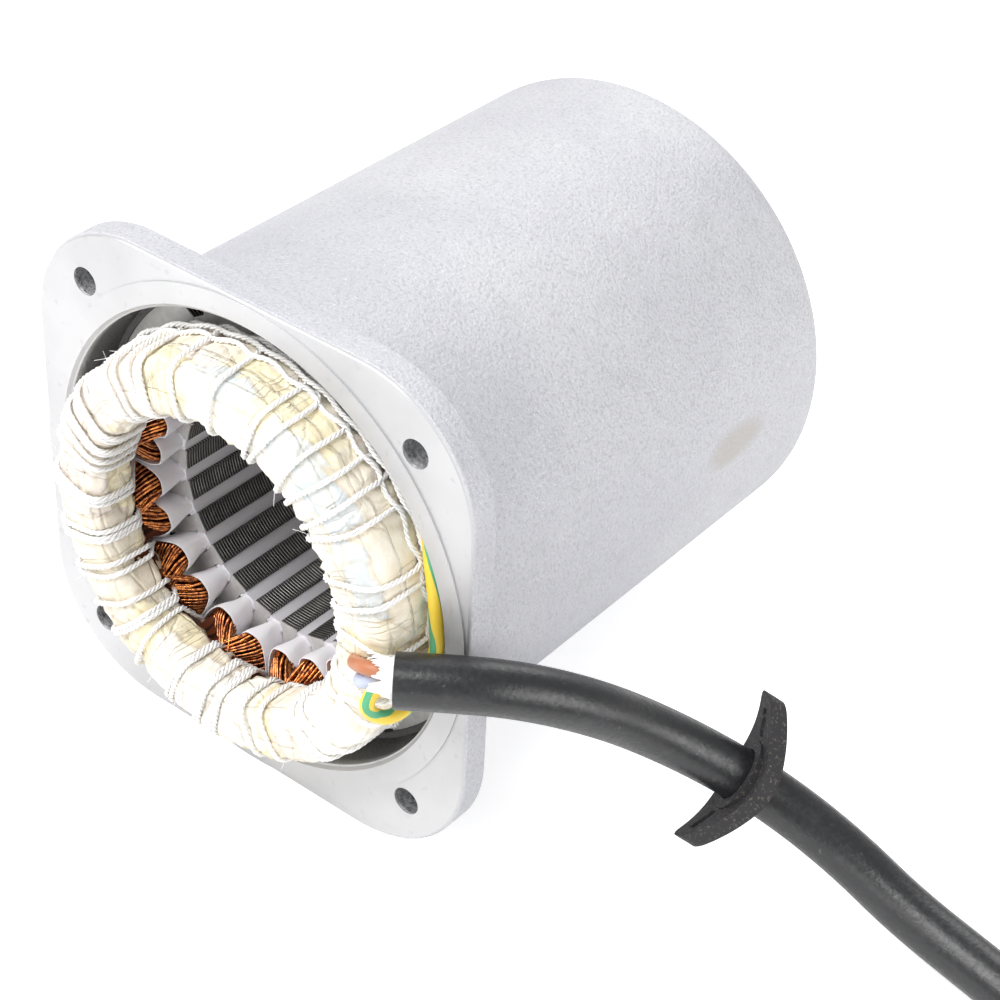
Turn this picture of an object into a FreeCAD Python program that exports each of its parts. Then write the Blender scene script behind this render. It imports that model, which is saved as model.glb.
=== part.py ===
import FreeCAD, Part
import math
import os

# Wound stator of a small motor, pressed into a cast aluminium pot with a square flange.
# Frame: origin on the bore axis in the flange's front face, -Y out of the mouth, +Z up, millimetres.
# The winding's supply lead leaves the front coil head, drops to the ground and ends in a coil.

V = FreeCAD.Vector

# Lamination core
core_bore = 50.5
core_length = 65.0
core_face_depth = 10.5
core_fit = 0.05
slot_count = 24
tooth_width = 3.0
slot_opening = 2.7
slot_bottom_radius = 37.2
slot_corner = 1.2
yoke_depth = 6.8
core_diameter = 2 * (slot_bottom_radius + yoke_depth)
tooth_tip = 0.9
tooth_shoulder = 0.9
rim_notch_count = 4
rim_notch_width = 6.0
rim_notch_depth = 4.6
rim_notch_angle = 32.0

# Slot insulation
liner_thickness = 0.3
liner_fit = 0.05
cuff_height = 5.9
cuff_inner_step = 0.65
cuff_inner_radius = core_bore / 2 + cuff_inner_step
cuff_outer_step = 1.4
cuff_outer_radius = slot_bottom_radius + cuff_outer_step
cuff_gap = 0.4
wedge_fit = 0.05
wedge_recess = 0.45
wedge_thickness = 1.5

# Coil heads
head_inner_step = 3.05
head_inner_radius = core_bore / 2 + head_inner_step
head_outer_step = 2.1
head_outer_radius = slot_bottom_radius + head_outer_step
head_reach = 9.4
head_back = 3.4
head_corner = 4.0
head_outer_rear_corner = 2.0
tape_thickness = 0.8
start_ring_width = 5.4
paper_radius = head_inner_radius + start_ring_width
paper_thickness = 0.3
bundle_fit = 0.1
bundle_share = 0.62
bundle_into_ring = 2.5
bundle_straight = 0.4
coil_ring_edge = 2.4
coil_ring_paper_edge = 0.3
lacing_thickness = 1.1
lacing_count = 24
lacing_runner_width = 1.8
lacing_runner_sink = 0.2

# Housing: the barrel is sized from the core outwards, and the flange from the barrel
register_gap = 1.15
register_diameter = core_diameter + 2 * register_gap
register_depth = 10.0
register_chamfer = 0.8
register_wall = 3.15
barrel_front_diameter = register_diameter + 2 * register_wall
barrel_draft = 0.95
barrel_rear_diameter = barrel_front_diameter - 2 * barrel_draft
barrel_root_fillet = 1.4
flange_overhang = 2.45
flange_size = barrel_front_diameter + 2 * flange_overhang
flange_corner_radius = 24.8
flange_thickness = 6.2
flange_edge_break = 0.6
hole_inset = 12.75
hole_spacing = flange_size - 2 * hole_inset
bolt_hole_diameter = 5.5
rear_wall = 6.5
rear_head_gap = 11.5
housing_length = 2 * core_face_depth + core_length + head_reach + rear_head_gap + rear_wall
rear_edge_radius = 6.2
seal_face_edge = 0.7
seal_face_diameter = flange_size - 2 * seal_face_edge
seal_face_height = 0.35
core_ledge = 2.0
rear_cavity_diameter = core_diameter - 2 * core_ledge
rear_cavity_corner = 4.0
bearing_diameter = 35.0
bearing_seat_depth = 11.0
bearing_boss_diameter = 46.0
bearing_boss_height = 10.0
bearing_boss_root = 2.0

# Supply lead
cable_diameter = 9.7
lead_diameter = 2.6
wrap_diameter = 7.4
wrap_thickness = 0.35
wrap_reach = 2.4
wrap_tear_width = 1.1
wrap_tears = ((20, 1.6), (95, 1.1), (150, 2.0), (215, 1.3), (290, 1.8))
lead_offset = 1.7
live_lead_angle = 80.0
neutral_lead_angle = 320.0
earth_lead_angle = 200.0
straight_exit = 3.0
ground_clearance = 0.05
coil_outer_turn_radius = 57.85
coil_layers = 2
coil_gap_angle = 62.0
coil_tail_inset = 0.1
end_core_angle = 34.0
end_core_gap = 0.2
ferrule_collar_diameter = 3.6
ferrule_collar_length = 6.0
ferrule_pin_diameter = 1.6
ferrule_pin_length = 8.0

# Clamp washer on the lead
washer_length = 30.0
washer_width = 17.5
washer_thickness = 3.2
washer_bend_radius = 26.0
washer_tip_radius = 3.2
washer_fit = 0.15
washer_hole_length = 4.6
washer_hole_width = 2.0
washer_hole_offset = 10.0
washer_station = 0.5
washer_point = 1.5
washer_collar_wall = 2.0
washer_collar_height = 4.6
washer_ears = (0.0, 0.69, 0.72)

# Earth connection
earth_screw_angle = 50.0
earth_screw_inset = 2.8
earth_screw_radius = core_diameter / 2 - earth_screw_inset
earth_screw_diameter = 3.0
earth_screw_depth = 8.0
earth_head_diameter = 5.2
earth_head_height = 2.0
earth_head_round = 0.7
drive_width = 0.7
drive_span = 3.0
drive_depth = 0.8
screw_clearance = 0.1
lug_thickness = 0.8
lug_diameter = 5.6
lug_sleeve_diameter = 3.6
lug_sleeve_length = 4.5
lug_sweep = 10.5
wall_gap = 0.3

half_flange = flange_size / 2
ground = -half_flange
core_front = core_face_depth
core_rear = core_face_depth + core_length
core_middle = core_face_depth + core_length / 2
core_radius = core_diameter / 2 - core_fit
bore_radius = core_bore / 2
pitch_angle = 360.0 / slot_count
shoulder_radius = bore_radius + tooth_tip
slot_top_radius = shoulder_radius + tooth_shoulder
cuff_mouth = core_front - cuff_height
cable_radius = cable_diameter / 2
cable_rest = ground + ground_clearance + cable_radius
coil_inner_turn_radius = coil_outer_turn_radius - cable_diameter

# The lead's route, from the cut end of its sheath beside the coil head to the coil on the ground.
coil_entry_y = 36.5
cable_route = [
    (45.3, -12.5, 2.5),
    (54.0, -6.2, 2.7),
    (60.5, 2.0, -0.2),
    (66.5, 12.1, -6.4),
    (71.3, 23.4, -15.7),
    (80.5, 33.5, -25.2),
    (91.5, 39.6, -32.6),
    (104.0, 42.3, -38.9),
    (116.8, 41.9, -43.8),
    (133.0, 40.3, cable_rest),
    (152.5, coil_entry_y, cable_rest),
    (171.5, coil_entry_y, cable_rest),
]
coil_centre_x = 206.0
coil_centre_y = coil_entry_y - coil_outer_turn_radius

# The insulated cores, from their ends in the sheath: two go under the tape of the coil head,
# the earth core loops round below the sheath, lies along the register wall and climbs to its lug.
live_bends = [
    (39.8, -14.2, 3.5),
    (36.4, -12.0, 0.9),
    (34.0, -9.7, -1.6),
    (32.9, -7.8, -3.0),
]
neutral_bends = [
    (39.3, -13.4, -0.7),
    (37.0, -11.6, -2.6),
    (35.9, -9.4, -4.3),
    (35.2, -7.4, -5.3),
]
earth_bends = [
    (43.1, -17.2, -0.9),
    (43.4, -16.1, -3.6),
    (44.4, -13.3, -5.7),
    (44.8, -9.4, -6.5),
    (44.3, -5.6, -5.9),
    (43.4, -2.6, -3.4),
]
earth_climb = [(0.3, -0.4), (14.0, -0.4), (23.5, 1.4), (31.5, 4.6)]


def wire_of(points):
    corners = [V(*p) for p in points]
    return Part.makePolygon(corners + [corners[0]])


def plate(points, height, direction):
    return Part.Face(wire_of(points)).extrude(direction * height)


def revolved(outline):
    """Turns a closed wire in the XY plane about the bore axis."""
    return Part.Face(outline).revolve(V(0, 0, 0), V(0, 1, 0), 360)


def turned(shape, angle):
    copy = shape.copy()
    copy.rotate(V(0, 0, 0), V(0, -1, 0), angle)
    return copy


def at_rear(shape):
    return shape.mirror(V(0, core_middle, 0), V(0, 1, 0))


def cylinder(radius, length, start, direction):
    return Part.makeCylinder(radius, length, start, direction)


def joined(shapes):
    result = shapes[0].fuse(shapes[1:])
    return result.removeSplitter()


def rounded_wire(points, radii, broken=False):
    """A closed outline whose corners are tangent arcs of the given radii, 0 for a sharp corner.

    Broken corners are two flats along the arc instead, for soft or hidden pieces.
    """
    corners = [V(*p) for p in points]
    count = len(corners)
    edges = []
    ends = []
    for k in range(count):
        corner = corners[k]
        before = (corners[k - 1] - corner).normalize()
        after = (corners[(k + 1) % count] - corner).normalize()
        radius = radii[k]
        if radius <= 0:
            ends.append((corner, None, corner))
            continue
        half = before.getAngle(after) / 2
        reach = radius / math.tan(half)
        middle = corner + (before + after).normalize() * (radius / math.sin(half) - radius)
        ends.append((corner + before * reach, middle, corner + after * reach))
    for k in range(count):
        start, middle, finish = ends[k]
        if middle is not None and broken:
            edges += [Part.makeLine(start, middle), Part.makeLine(middle, finish)]
        elif middle is not None:
            edges.append(Part.Arc(start, middle, finish).toShape())
        following = ends[(k + 1) % count][0]
        if finish.distanceToPoint(following) > 1e-6:
            edges.append(Part.makeLine(finish, following))
    return Part.Wire(edges)


def square_outline(size, corner, y):
    half = size / 2
    points = [(-half, y, -half), (half, y, -half), (half, y, half), (-half, y, half)]
    return rounded_wire(points, [corner] * 4)


def build_housing():
    outline = square_outline(flange_size, flange_corner_radius, 0)
    flange = Part.Face(outline).extrude(V(0, flange_thickness, 0))
    rim_edges = [e for e in flange.Edges if abs(e.BoundBox.YMax - e.BoundBox.YMin) < 1e-6]
    flange = flange.makeChamfer(flange_edge_break, rim_edges)
    front_radius = barrel_front_diameter / 2
    rear_radius = barrel_rear_diameter / 2
    profile = rounded_wire(
        [(0, 0, 0), (front_radius, 0, 0), (rear_radius, housing_length, 0), (0, housing_length, 0)],
        [0, 0, rear_edge_radius, 0],
    )
    body = flange.fuse(revolved(profile)).removeSplitter()
    root = [
        e for e in body.Edges
        if abs(e.BoundBox.YMin - flange_thickness) < 1e-3
        and abs(e.BoundBox.YMax - flange_thickness) < 1e-3
        and abs(e.BoundBox.XMax - front_radius) < 0.3
    ]
    body = body.makeFillet(barrel_root_fillet, root)
    seal_face = cylinder(seal_face_diameter / 2, seal_face_height + 0.5, V(0, 0.5, 0), V(0, -1, 0))
    body = body.fuse(seal_face)
    floor_y = housing_length - rear_wall
    mouth = -seal_face_height
    register = register_diameter / 2
    cavity = rounded_wire(
        [
            (0, mouth - 1, 0),
            (register + register_chamfer + 1, mouth - 1, 0),
            (register, mouth + register_chamfer, 0),
            (register, register_depth, 0),
            (core_diameter / 2, register_depth, 0),
            (core_diameter / 2, core_rear, 0),
            (rear_cavity_diameter / 2, core_rear, 0),
            (rear_cavity_diameter / 2, floor_y, 0),
            (bearing_boss_diameter / 2, floor_y, 0),
            (bearing_boss_diameter / 2, floor_y - bearing_boss_height, 0),
            (bearing_diameter / 2, floor_y - bearing_boss_height, 0),
            (bearing_diameter / 2, floor_y - bearing_boss_height + bearing_seat_depth, 0),
            (0, floor_y - bearing_boss_height + bearing_seat_depth, 0),
        ],
        [0, 0, 0, 0, 0, 0, 0, rear_cavity_corner, bearing_boss_root, 0, 0, 0, 0],
        broken=True,
    )
    body = body.cut(revolved(cavity))
    for x in (-hole_spacing / 2, hole_spacing / 2):
        for z in (-hole_spacing / 2, hole_spacing / 2):
            body = body.cut(cylinder(bolt_hole_diameter / 2, flange_thickness + 4, V(x, -2, z), V(0, 1, 0)))
    return body.removeSplitter()


def slot_half_width(radius, inset):
    return radius * math.sin(math.radians(pitch_angle / 2)) - tooth_width / 2 - inset


def slot_section(y, inner, outer, inset):
    """Outline of the slot at one depth, inset from its walls, for the slot whose middle lies along +X."""
    corner = outer - slot_corner
    return [
        (inner, y, -slot_half_width(inner, inset)),
        (corner, y, -slot_half_width(corner, inset)),
        (outer, y, -slot_half_width(corner, inset) + slot_corner),
        (outer, y, slot_half_width(corner, inset) - slot_corner),
        (corner, y, slot_half_width(corner, inset)),
        (inner, y, slot_half_width(inner, inset)),
    ]


def cuff_section(y, inset):
    """Outline of the flared cuff at its mouth, as wide as its share of the circle allows."""
    inner = cuff_inner_radius + inset
    outer = cuff_outer_radius - inset
    corner = outer - slot_corner
    share = math.sin(math.radians(pitch_angle / 2))
    low = inner * share - cuff_gap / 2 - inset
    high = corner * share - cuff_gap / 2 - inset
    return [
        (inner, y, -low), (corner, y, -high), (outer, y, -high + slot_corner),
        (outer, y, high - slot_corner), (corner, y, high), (inner, y, low),
    ]


def slot_angle(index):
    return (index + 0.5) * pitch_angle


def lofted(sections):
    return Part.makeLoft([wire_of(s) for s in sections], True, True)


def build_core():
    blank = cylinder(core_radius, core_length, V(0, core_front, 0), V(0, 1, 0))
    blank = blank.cut(cylinder(bore_radius, core_length + 2, V(0, core_front - 1, 0), V(0, 1, 0)))
    opening = slot_opening / 2
    front = core_front - 1
    left = [
        (bore_radius - 1, front, -opening),
        (shoulder_radius, front, -opening),
        (slot_top_radius, front, -slot_half_width(slot_top_radius, 0)),
    ]
    pocket = slot_section(front, slot_top_radius, slot_bottom_radius, 0)[1:5]
    right = [(x, y, -z) for (x, y, z) in reversed(left)]
    slot = plate(left + pocket + right, core_length + 2, V(0, 1, 0))
    half = rim_notch_width / 2
    notch = plate(
        [
            (core_radius + 1, front, -half),
            (core_radius - rim_notch_depth + half, front, -half),
            (core_radius - rim_notch_depth, front, -half / 2),
            (core_radius - rim_notch_depth, front, half / 2),
            (core_radius - rim_notch_depth + half, front, half),
            (core_radius + 1, front, half),
        ],
        core_length + 2,
        V(0, 1, 0),
    )
    cutters = [turned(slot, slot_angle(k)) for k in range(slot_count)]
    cutters += [turned(notch, rim_notch_angle + k * 360.0 / rim_notch_count) for k in range(rim_notch_count)]
    screw_hole = cylinder(earth_screw_diameter / 2, earth_screw_depth, V(0, core_front, 0), V(0, 1, 0))
    screw_hole.translate(earth_point(0))
    return blank.cut(cutters + [screw_hole])


def liner_sections(inset, beyond):
    inner = slot_top_radius + wedge_thickness - tooth_shoulder + liner_fit + inset
    outer = slot_bottom_radius - liner_fit - inset
    slot_inset = liner_fit + inset
    rear_mouth = 2 * core_middle - cuff_mouth
    return [
        cuff_section(cuff_mouth - beyond, inset),
        slot_section(core_front - liner_fit, inner, outer, slot_inset),
        slot_section(core_rear + liner_fit, inner, outer, slot_inset),
        cuff_section(rear_mouth + beyond, inset),
    ]


def build_liner():
    """One folded paper slot liner: a sleeve in the slot that flares into a cuff at each end."""
    return lofted(liner_sections(0, 0)).cut(lofted(liner_sections(liner_thickness, 0.05)))


def build_wedge():
    """The closing strip that holds the liner and the wires down behind the tooth tips."""
    inner = bore_radius + wedge_recess
    outer = slot_top_radius + wedge_thickness - tooth_shoulder
    narrow = slot_opening / 2 - wedge_fit
    wide = slot_half_width(slot_top_radius, wedge_fit)
    y = core_front
    points = [
        (inner, y, -narrow), (shoulder_radius + wedge_fit, y, -narrow),
        (slot_top_radius + wedge_fit, y, -wide), (outer, y, -wide),
        (outer, y, wide), (slot_top_radius + wedge_fit, y, wide),
        (shoulder_radius + wedge_fit, y, narrow), (inner, y, narrow),
    ]
    return plate(points, core_length, V(0, 1, 0))


def head_outline(offset):
    """Section of the taped front head in the XY plane, grown outwards by an offset."""
    inner = head_inner_radius - offset
    outer = head_outer_radius + offset
    front = -head_reach - offset
    back = head_back + offset
    corner = head_corner + offset
    points = [
        (inner, front, 0), (outer, front, 0), (outer, back, 0),
        (inner + head_corner, back, 0), (inner, back - head_corner, 0),
    ]
    return points, [corner, corner, head_outer_rear_corner + offset, 0, 0]


def head_solid(offset):
    points, radii = head_outline(offset)
    return revolved(rounded_wire(points, radii, broken=True))


def coil_ring(inner, outer, back):
    """The wound ring of end turns inside the tape, with broken corners."""
    front = -head_reach + tape_thickness
    inner_break = coil_ring_edge if inner < paper_radius - paper_thickness else coil_ring_paper_edge
    outer_break = coil_ring_edge if outer > paper_radius + paper_thickness else coil_ring_paper_edge
    points = [
        (inner + inner_break, front, 0), (outer - outer_break, front, 0), (outer, front + outer_break, 0),
        (outer, back, 0), (inner + inner_break, back, 0), (inner, back - inner_break, 0),
        (inner, front + inner_break, 0),
    ]
    return revolved(wire_of(points))


def bundle_section(y, inner, outer):
    corner = outer - slot_corner / 2
    share = math.sin(math.radians(pitch_angle / 2)) * bundle_share
    return [
        (inner, y, -inner * share), (corner, y, -corner * share),
        (outer, y, -corner * share + slot_corner / 2), (outer, y, corner * share - slot_corner / 2),
        (corner, y, corner * share), (inner, y, inner * share),
    ]


def build_bundle(inner_at_ring, outer_at_ring):
    """The wires of one slot: they fill the liner and bend into the end ring at both ends."""
    inset = liner_fit + liner_thickness + bundle_fit
    inner = slot_top_radius + wedge_thickness - tooth_shoulder + inset
    outer = slot_bottom_radius - inset
    ring_back = head_back - tape_thickness
    front = [
        bundle_section(ring_back - bundle_into_ring, inner_at_ring, outer_at_ring),
        bundle_section(ring_back + bundle_straight, inner_at_ring, outer_at_ring),
        slot_section(core_front, inner, outer, inset),
    ]
    rear = [[(x, 2 * core_middle - y, z) for (x, y, z) in section] for section in reversed(front)]
    return lofted(front + rear)


def start_slot(index):
    return index % 3 == 1


def build_windings():
    ring_back = head_back - tape_thickness
    inner = head_inner_radius + tape_thickness
    outer = head_outer_radius - tape_thickness
    low = paper_radius - paper_thickness / 2
    high = paper_radius + paper_thickness / 2
    start_ring = coil_ring(inner, low, ring_back)
    main_ring = coil_ring(high, outer, ring_back)
    start_bundle = build_bundle(inner + bundle_straight, low - bundle_straight)
    main_bundle = build_bundle(high + bundle_straight, outer - bundle_straight)
    start = [start_ring, at_rear(start_ring)]
    main = [main_ring, at_rear(main_ring)]
    for k in range(slot_count):
        if start_slot(k):
            start.append(turned(start_bundle, slot_angle(k)))
        else:
            main.append(turned(main_bundle, slot_angle(k)))
    return joined(start), joined(main)


def build_phase_paper():
    low = paper_radius - paper_thickness / 2
    high = paper_radius + paper_thickness / 2
    front = -head_reach + tape_thickness
    back = head_back - tape_thickness
    return revolved(wire_of([(low, front, 0), (high, front, 0), (high, back, 0), (low, back, 0)]))


def build_lacing():
    """The lacing cord: hitches round the taped ring, tied along a runner on its outer edge."""
    points, radii = head_outline(lacing_thickness)
    cut = head_corner - math.sqrt(0.5) * head_corner
    xs = [p[0] for p in points]
    ys = [p[1] for p in points]
    inner, outer, front, back = min(xs), max(xs), min(ys), max(ys)
    hitch_outline = [
        (inner + cut, front, 0), (outer - cut, front, 0),
        (outer, front + cut, 0), (outer, back - cut, 0),
        (outer - cut, back, 0), (inner + head_corner + cut, back, 0),
        (inner, back - head_corner - cut, 0), (inner, front + cut, 0),
    ]
    half = lacing_thickness / 2
    hitch = plate([(x, y, -half) for (x, y, z) in hitch_outline], lacing_thickness, V(0, 0, 1))
    foot = head_outer_radius - lacing_runner_sink
    wide = lacing_runner_width / 2
    runner = revolved(wire_of([(foot, -wide, 0), (outer, -wide, 0), (outer, wide, 0), (foot, wide, 0)]))
    hitches = [turned(hitch, k * 360.0 / lacing_count) for k in range(lacing_count)]
    return runner.fuse(hitches).cut(head_solid(0)).removeSplitter()


def tangent_path(points, share=0.45):
    """Straight runs joined by tangent arcs, each arc as large as its two runs allow."""
    corners = [V(*p) for p in points]
    edges = []
    radii = []
    last = corners[0]
    for k in range(1, len(corners) - 1):
        corner = corners[k]
        back = corners[k - 1] - corner
        ahead = corners[k + 1] - corner
        reach = share * min(back.Length, ahead.Length)
        back.normalize()
        ahead.normalize()
        half_turn = (math.pi - back.getAngle(ahead)) / 2
        radius = reach / math.tan(half_turn)
        start = corner + back * reach
        finish = corner + ahead * reach
        middle = corner + (back + ahead).normalize() * (radius / math.cos(half_turn) - radius)
        edges.append(Part.makeLine(last, start))
        edges.append(Part.Arc(start, middle, finish).toShape())
        radii.append(radius)
        last = finish
    edges.append(Part.makeLine(last, corners[-1]))
    return Part.Wire(edges), radii


def tube(points, radius, name):
    path, radii = tangent_path(points)
    start = V(*points[0])
    heading = (V(*points[1]) - start).normalize()
    ring = Part.Wire([Part.Circle(start, heading, radius).toShape()])
    solid = path.makePipeShell([ring], True, False)
    expected = math.pi * radius * radius * path.Length
    print(name, "length", round(path.Length, 1), "volume share", round(solid.Volume / expected, 4),
          "tightest radius", round(min(radii), 1))
    return solid


def heading_at_start():
    return (V(*cable_route[1]) - V(*cable_route[0])).normalize()


def frame_across(direction):
    """Two directions across a given one: level, and square to both."""
    level = direction.cross(V(0, 0, 1)).normalize()
    return level, level.cross(direction).normalize()


def build_cable_wrap():
    """The torn paper wrap round the cores, where it stands out of the cut sheath."""
    start = V(*cable_route[0])
    out = heading_at_start() * -1
    outer = wrap_diameter / 2
    level, rise = frame_across(out)
    sleeve = cylinder(outer, wrap_reach, start, out)
    sleeve = sleeve.cut(cylinder(outer - wrap_thickness, wrap_reach + 2, start - out, out))
    for angle, depth in wrap_tears:
        across = level * math.cos(math.radians(angle)) + rise * math.sin(math.radians(angle))
        side = out.cross(across) * wrap_tear_width
        tip = start + out * (wrap_reach - depth) + across * (outer / 2)
        mouth = start + out * (wrap_reach + wrap_thickness) + across * (outer / 2)
        corners = [tip, mouth + side, mouth - side]
        tear = Part.Face(Part.makePolygon(corners + [corners[0]])).extrude(across * outer)
        sleeve = sleeve.cut(tear)
    return sleeve


def lead_exit(angle):
    """Where a core leaves the sheath and the end of its straight stretch through the wrap."""
    start = V(*cable_route[0])
    out = heading_at_start() * -1
    level, rise = frame_across(out)
    across = level * math.cos(math.radians(angle)) + rise * math.sin(math.radians(angle))
    start = start + across * lead_offset
    return [tuple(start), tuple(start + out * straight_exit)]


def build_short_lead(angle, bends):
    """A core that leaves the sheath and goes under the tape of the coil head."""
    return tube(lead_exit(angle) + bends, lead_diameter / 2, "short lead")


def earth_point(lift):
    angle = math.radians(earth_screw_angle)
    return V(earth_screw_radius * math.cos(angle), -lift, earth_screw_radius * math.sin(angle))


def earth_route():
    """Out of the sheath, round in a loose loop, under the cable and up the register wall to the lug."""
    wall = register_diameter / 2 - lead_diameter / 2 - wall_gap
    points = lead_exit(earth_lead_angle) + earth_bends
    for angle, y in earth_climb:
        a = math.radians(angle)
        points.append((wall * math.cos(a), y, wall * math.sin(a)))
    lug_y = core_front - lug_thickness - lug_sleeve_diameter / 2
    end_angle = math.radians(earth_screw_angle - lug_sweep)
    points.append((earth_screw_radius * math.cos(end_angle), lug_y, earth_screw_radius * math.sin(end_angle)))
    return points


def build_earth_lead():
    return tube(earth_route(), lead_diameter / 2, "earth lead")


def build_earth_lug():
    """Ring terminal: a flat ring under the screw head and a crimped barrel on the wire."""
    centre = earth_point(0) + V(0, core_front - lug_thickness, 0)
    ring = cylinder(lug_diameter / 2, lug_thickness, centre, V(0, 1, 0))
    end = V(*earth_route()[-1])
    before = V(*earth_route()[-2])
    along = (end - before).normalize()
    barrel = cylinder(lug_sleeve_diameter / 2, lug_sleeve_length, end - along * lug_thickness, along)
    neck_start = V(end.x, core_front - lug_thickness, end.z)
    neck_way = centre - neck_start
    side = neck_way.cross(V(0, 1, 0)).normalize() * (lug_sleeve_diameter / 2)
    corners = [neck_start + side, neck_start - side, centre - side, centre + side]
    neck = Part.Face(Part.makePolygon(corners + [corners[0]])).extrude(V(0, lug_thickness, 0))
    lug = ring.fuse([barrel, neck])
    lug = lug.cut(cylinder(earth_screw_diameter / 2, 4, centre - V(0, 2, 0), V(0, 1, 0)))
    driver_way = earth_head_height + lug_sleeve_diameter
    keep_clear = cylinder(earth_head_diameter / 2 + screw_clearance, driver_way,
                          centre - V(0, driver_way, 0), V(0, 1, 0))
    lug = lug.cut([keep_clear, build_earth_lead()])
    body = cylinder(core_radius + 2, core_length, V(0, core_front, 0), V(0, 1, 0))
    lug = lug.cut(body)
    return max(lug.Solids, key=lambda s: s.Volume)


def build_earth_screw():
    seat = earth_point(0) + V(0, core_front - lug_thickness, 0)
    head = cylinder(earth_head_diameter / 2, earth_head_height, seat, V(0, -1, 0))
    top = [e for e in head.Edges if abs(e.BoundBox.YMax - (seat.y - earth_head_height)) < 1e-5]
    head = head.makeChamfer(earth_head_round, top)
    shank = cylinder(earth_screw_diameter / 2, earth_screw_depth - 1 + lug_thickness, seat, V(0, 1, 0))
    crown = seat - V(0, earth_head_height, 0)
    slot = Part.makeBox(drive_span, 2 * drive_depth, drive_width)
    slot.translate(V(-drive_span / 2, -drive_depth, -drive_width / 2))
    cross = slot.copy()
    cross.rotate(V(0, 0, 0), V(0, 1, 0), 90)
    for cutter in (slot, cross):
        cutter.translate(crown)
        head = head.cut(cutter)
    return head.fuse(shank).removeSplitter()


def coil_sector(inner, outer, low, high, start, sweep):
    profile = wire_of([(inner, 0, low), (outer, 0, low), (outer, 0, high), (inner, 0, high)])
    solid = Part.Face(profile).revolve(V(0, 0, 0), V(0, 0, 1), sweep)
    solid.rotate(V(0, 0, 0), V(0, 0, 1), start)
    solid.translate(V(coil_centre_x, coil_centre_y, 0))
    return solid


def build_cable_coil():
    """The put-away turns as one ring; its upper layer stops where the sheath ends."""
    low = ground + ground_clearance
    inner = coil_inner_turn_radius - cable_radius
    outer = coil_outer_turn_radius + cable_radius
    lower = coil_sector(inner, outer, low, low + cable_diameter, 0, 360)
    upper = coil_sector(inner, outer, low + cable_diameter, low + coil_layers * cable_diameter,
                        90 + coil_gap_angle / 2, 360 - coil_gap_angle)
    entry = V(*cable_route[-1])
    tail = cylinder(cable_radius - coil_tail_inset, coil_centre_x - entry.x, entry, V(1, 0, 0))
    return joined([lower, upper, tail])


def end_core_radius(index):
    return coil_outer_turn_radius + (index - 1) * (ferrule_collar_diameter + end_core_gap)


def end_core_height():
    return ground + ground_clearance + cable_diameter + ferrule_collar_diameter / 2 + wall_gap


def sheath_end_angle():
    return 90 + coil_gap_angle / 2


def build_end_core(index):
    """A bared core lying on the coil past the end of the sheath."""
    centre = V(end_core_radius(index), 0, end_core_height())
    profile = Part.Wire([Part.Circle(centre, V(0, 1, 0), lead_diameter / 2).toShape()])
    solid = Part.Face(profile).revolve(V(0, 0, 0), V(0, 0, 1), end_core_angle)
    solid.rotate(V(0, 0, 0), V(0, 0, 1), sheath_end_angle() - end_core_angle)
    solid.translate(V(coil_centre_x, coil_centre_y, 0))
    return solid


def build_ferrule(index):
    """The crimped end sleeve of a core: an insulating collar and a bare tube."""
    radius = end_core_radius(index)
    angle = math.radians(sheath_end_angle() - end_core_angle)
    x = coil_centre_x + radius * math.cos(angle)
    y = coil_centre_y + radius * math.sin(angle)
    start = V(x, y, end_core_height())
    along = V(math.sin(angle), -math.cos(angle), 0)
    collar = cylinder(ferrule_collar_diameter / 2, ferrule_collar_length, start, along)
    pin = cylinder(ferrule_pin_diameter / 2, ferrule_collar_length + ferrule_pin_length, start, along)
    return collar.fuse(pin).removeSplitter()


def washer_place():
    """Where the clamp washer sits on the lead: middle of one run, its run direction and its ear direction."""
    a = V(*cable_route[5])
    b = V(*cable_route[6])
    place = a + (b - a) * washer_station
    along = (b - a).normalize()
    ears = V(*washer_ears)
    ears = (ears - along * ears.dot(along)).normalize()
    return place, along, ears


def build_washer():
    """Rubber clamp washer: an eared plate bent back over the lead, with a tie slot in each ear."""
    tip = washer_tip_radius
    long = washer_length / 2 + tip
    wide = washer_width / 2
    outline = rounded_wire(
        [(-long, 0, 0), (0, -wide - washer_point, 0), (long, 0, 0), (0, wide + washer_point, 0)],
        [tip, wide, tip, wide],
    )
    reach = washer_bend_radius / 2
    half = washer_thickness / 2
    blank = Part.Face(outline).extrude(V(0, 0, 2 * reach))
    blank.translate(V(0, 0, -reach))
    axis = V(0, -washer_width, -washer_bend_radius)
    outer = cylinder(washer_bend_radius + half, 2 * washer_width, axis, V(0, 1, 0))
    inner = cylinder(washer_bend_radius - half, 2 * washer_width, axis, V(0, 1, 0))
    body = blank.common(outer.cut(inner))
    collar_start = V(0, 0, half - washer_collar_height + washer_fit)
    collar = cylinder(cable_radius + washer_collar_wall, washer_collar_height, collar_start, V(0, 0, 1))
    body = body.fuse(collar)
    for side in (-1, 1):
        slot = Part.makeBox(washer_hole_length, washer_hole_width, 2 * reach)
        slot.translate(V(side * washer_hole_offset - washer_hole_length / 2, -washer_hole_width / 2, -reach))
        body = body.cut(slot)
    place, along, ears = washer_place()
    across = along.cross(ears)
    matrix = FreeCAD.Matrix(
        ears.x, across.x, along.x, place.x,
        ears.y, across.y, along.y, place.y,
        ears.z, across.z, along.z, place.z,
        0, 0, 0, 1,
    )
    body = body.transformGeometry(matrix)
    lead = tube(cable_route, cable_radius + washer_fit, "washer bore")
    return max(body.cut(lead).Solids, key=lambda s: s.Volume)


def save(name, shape):
    shape.exportStep("parts/" + name + ".step")


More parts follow.
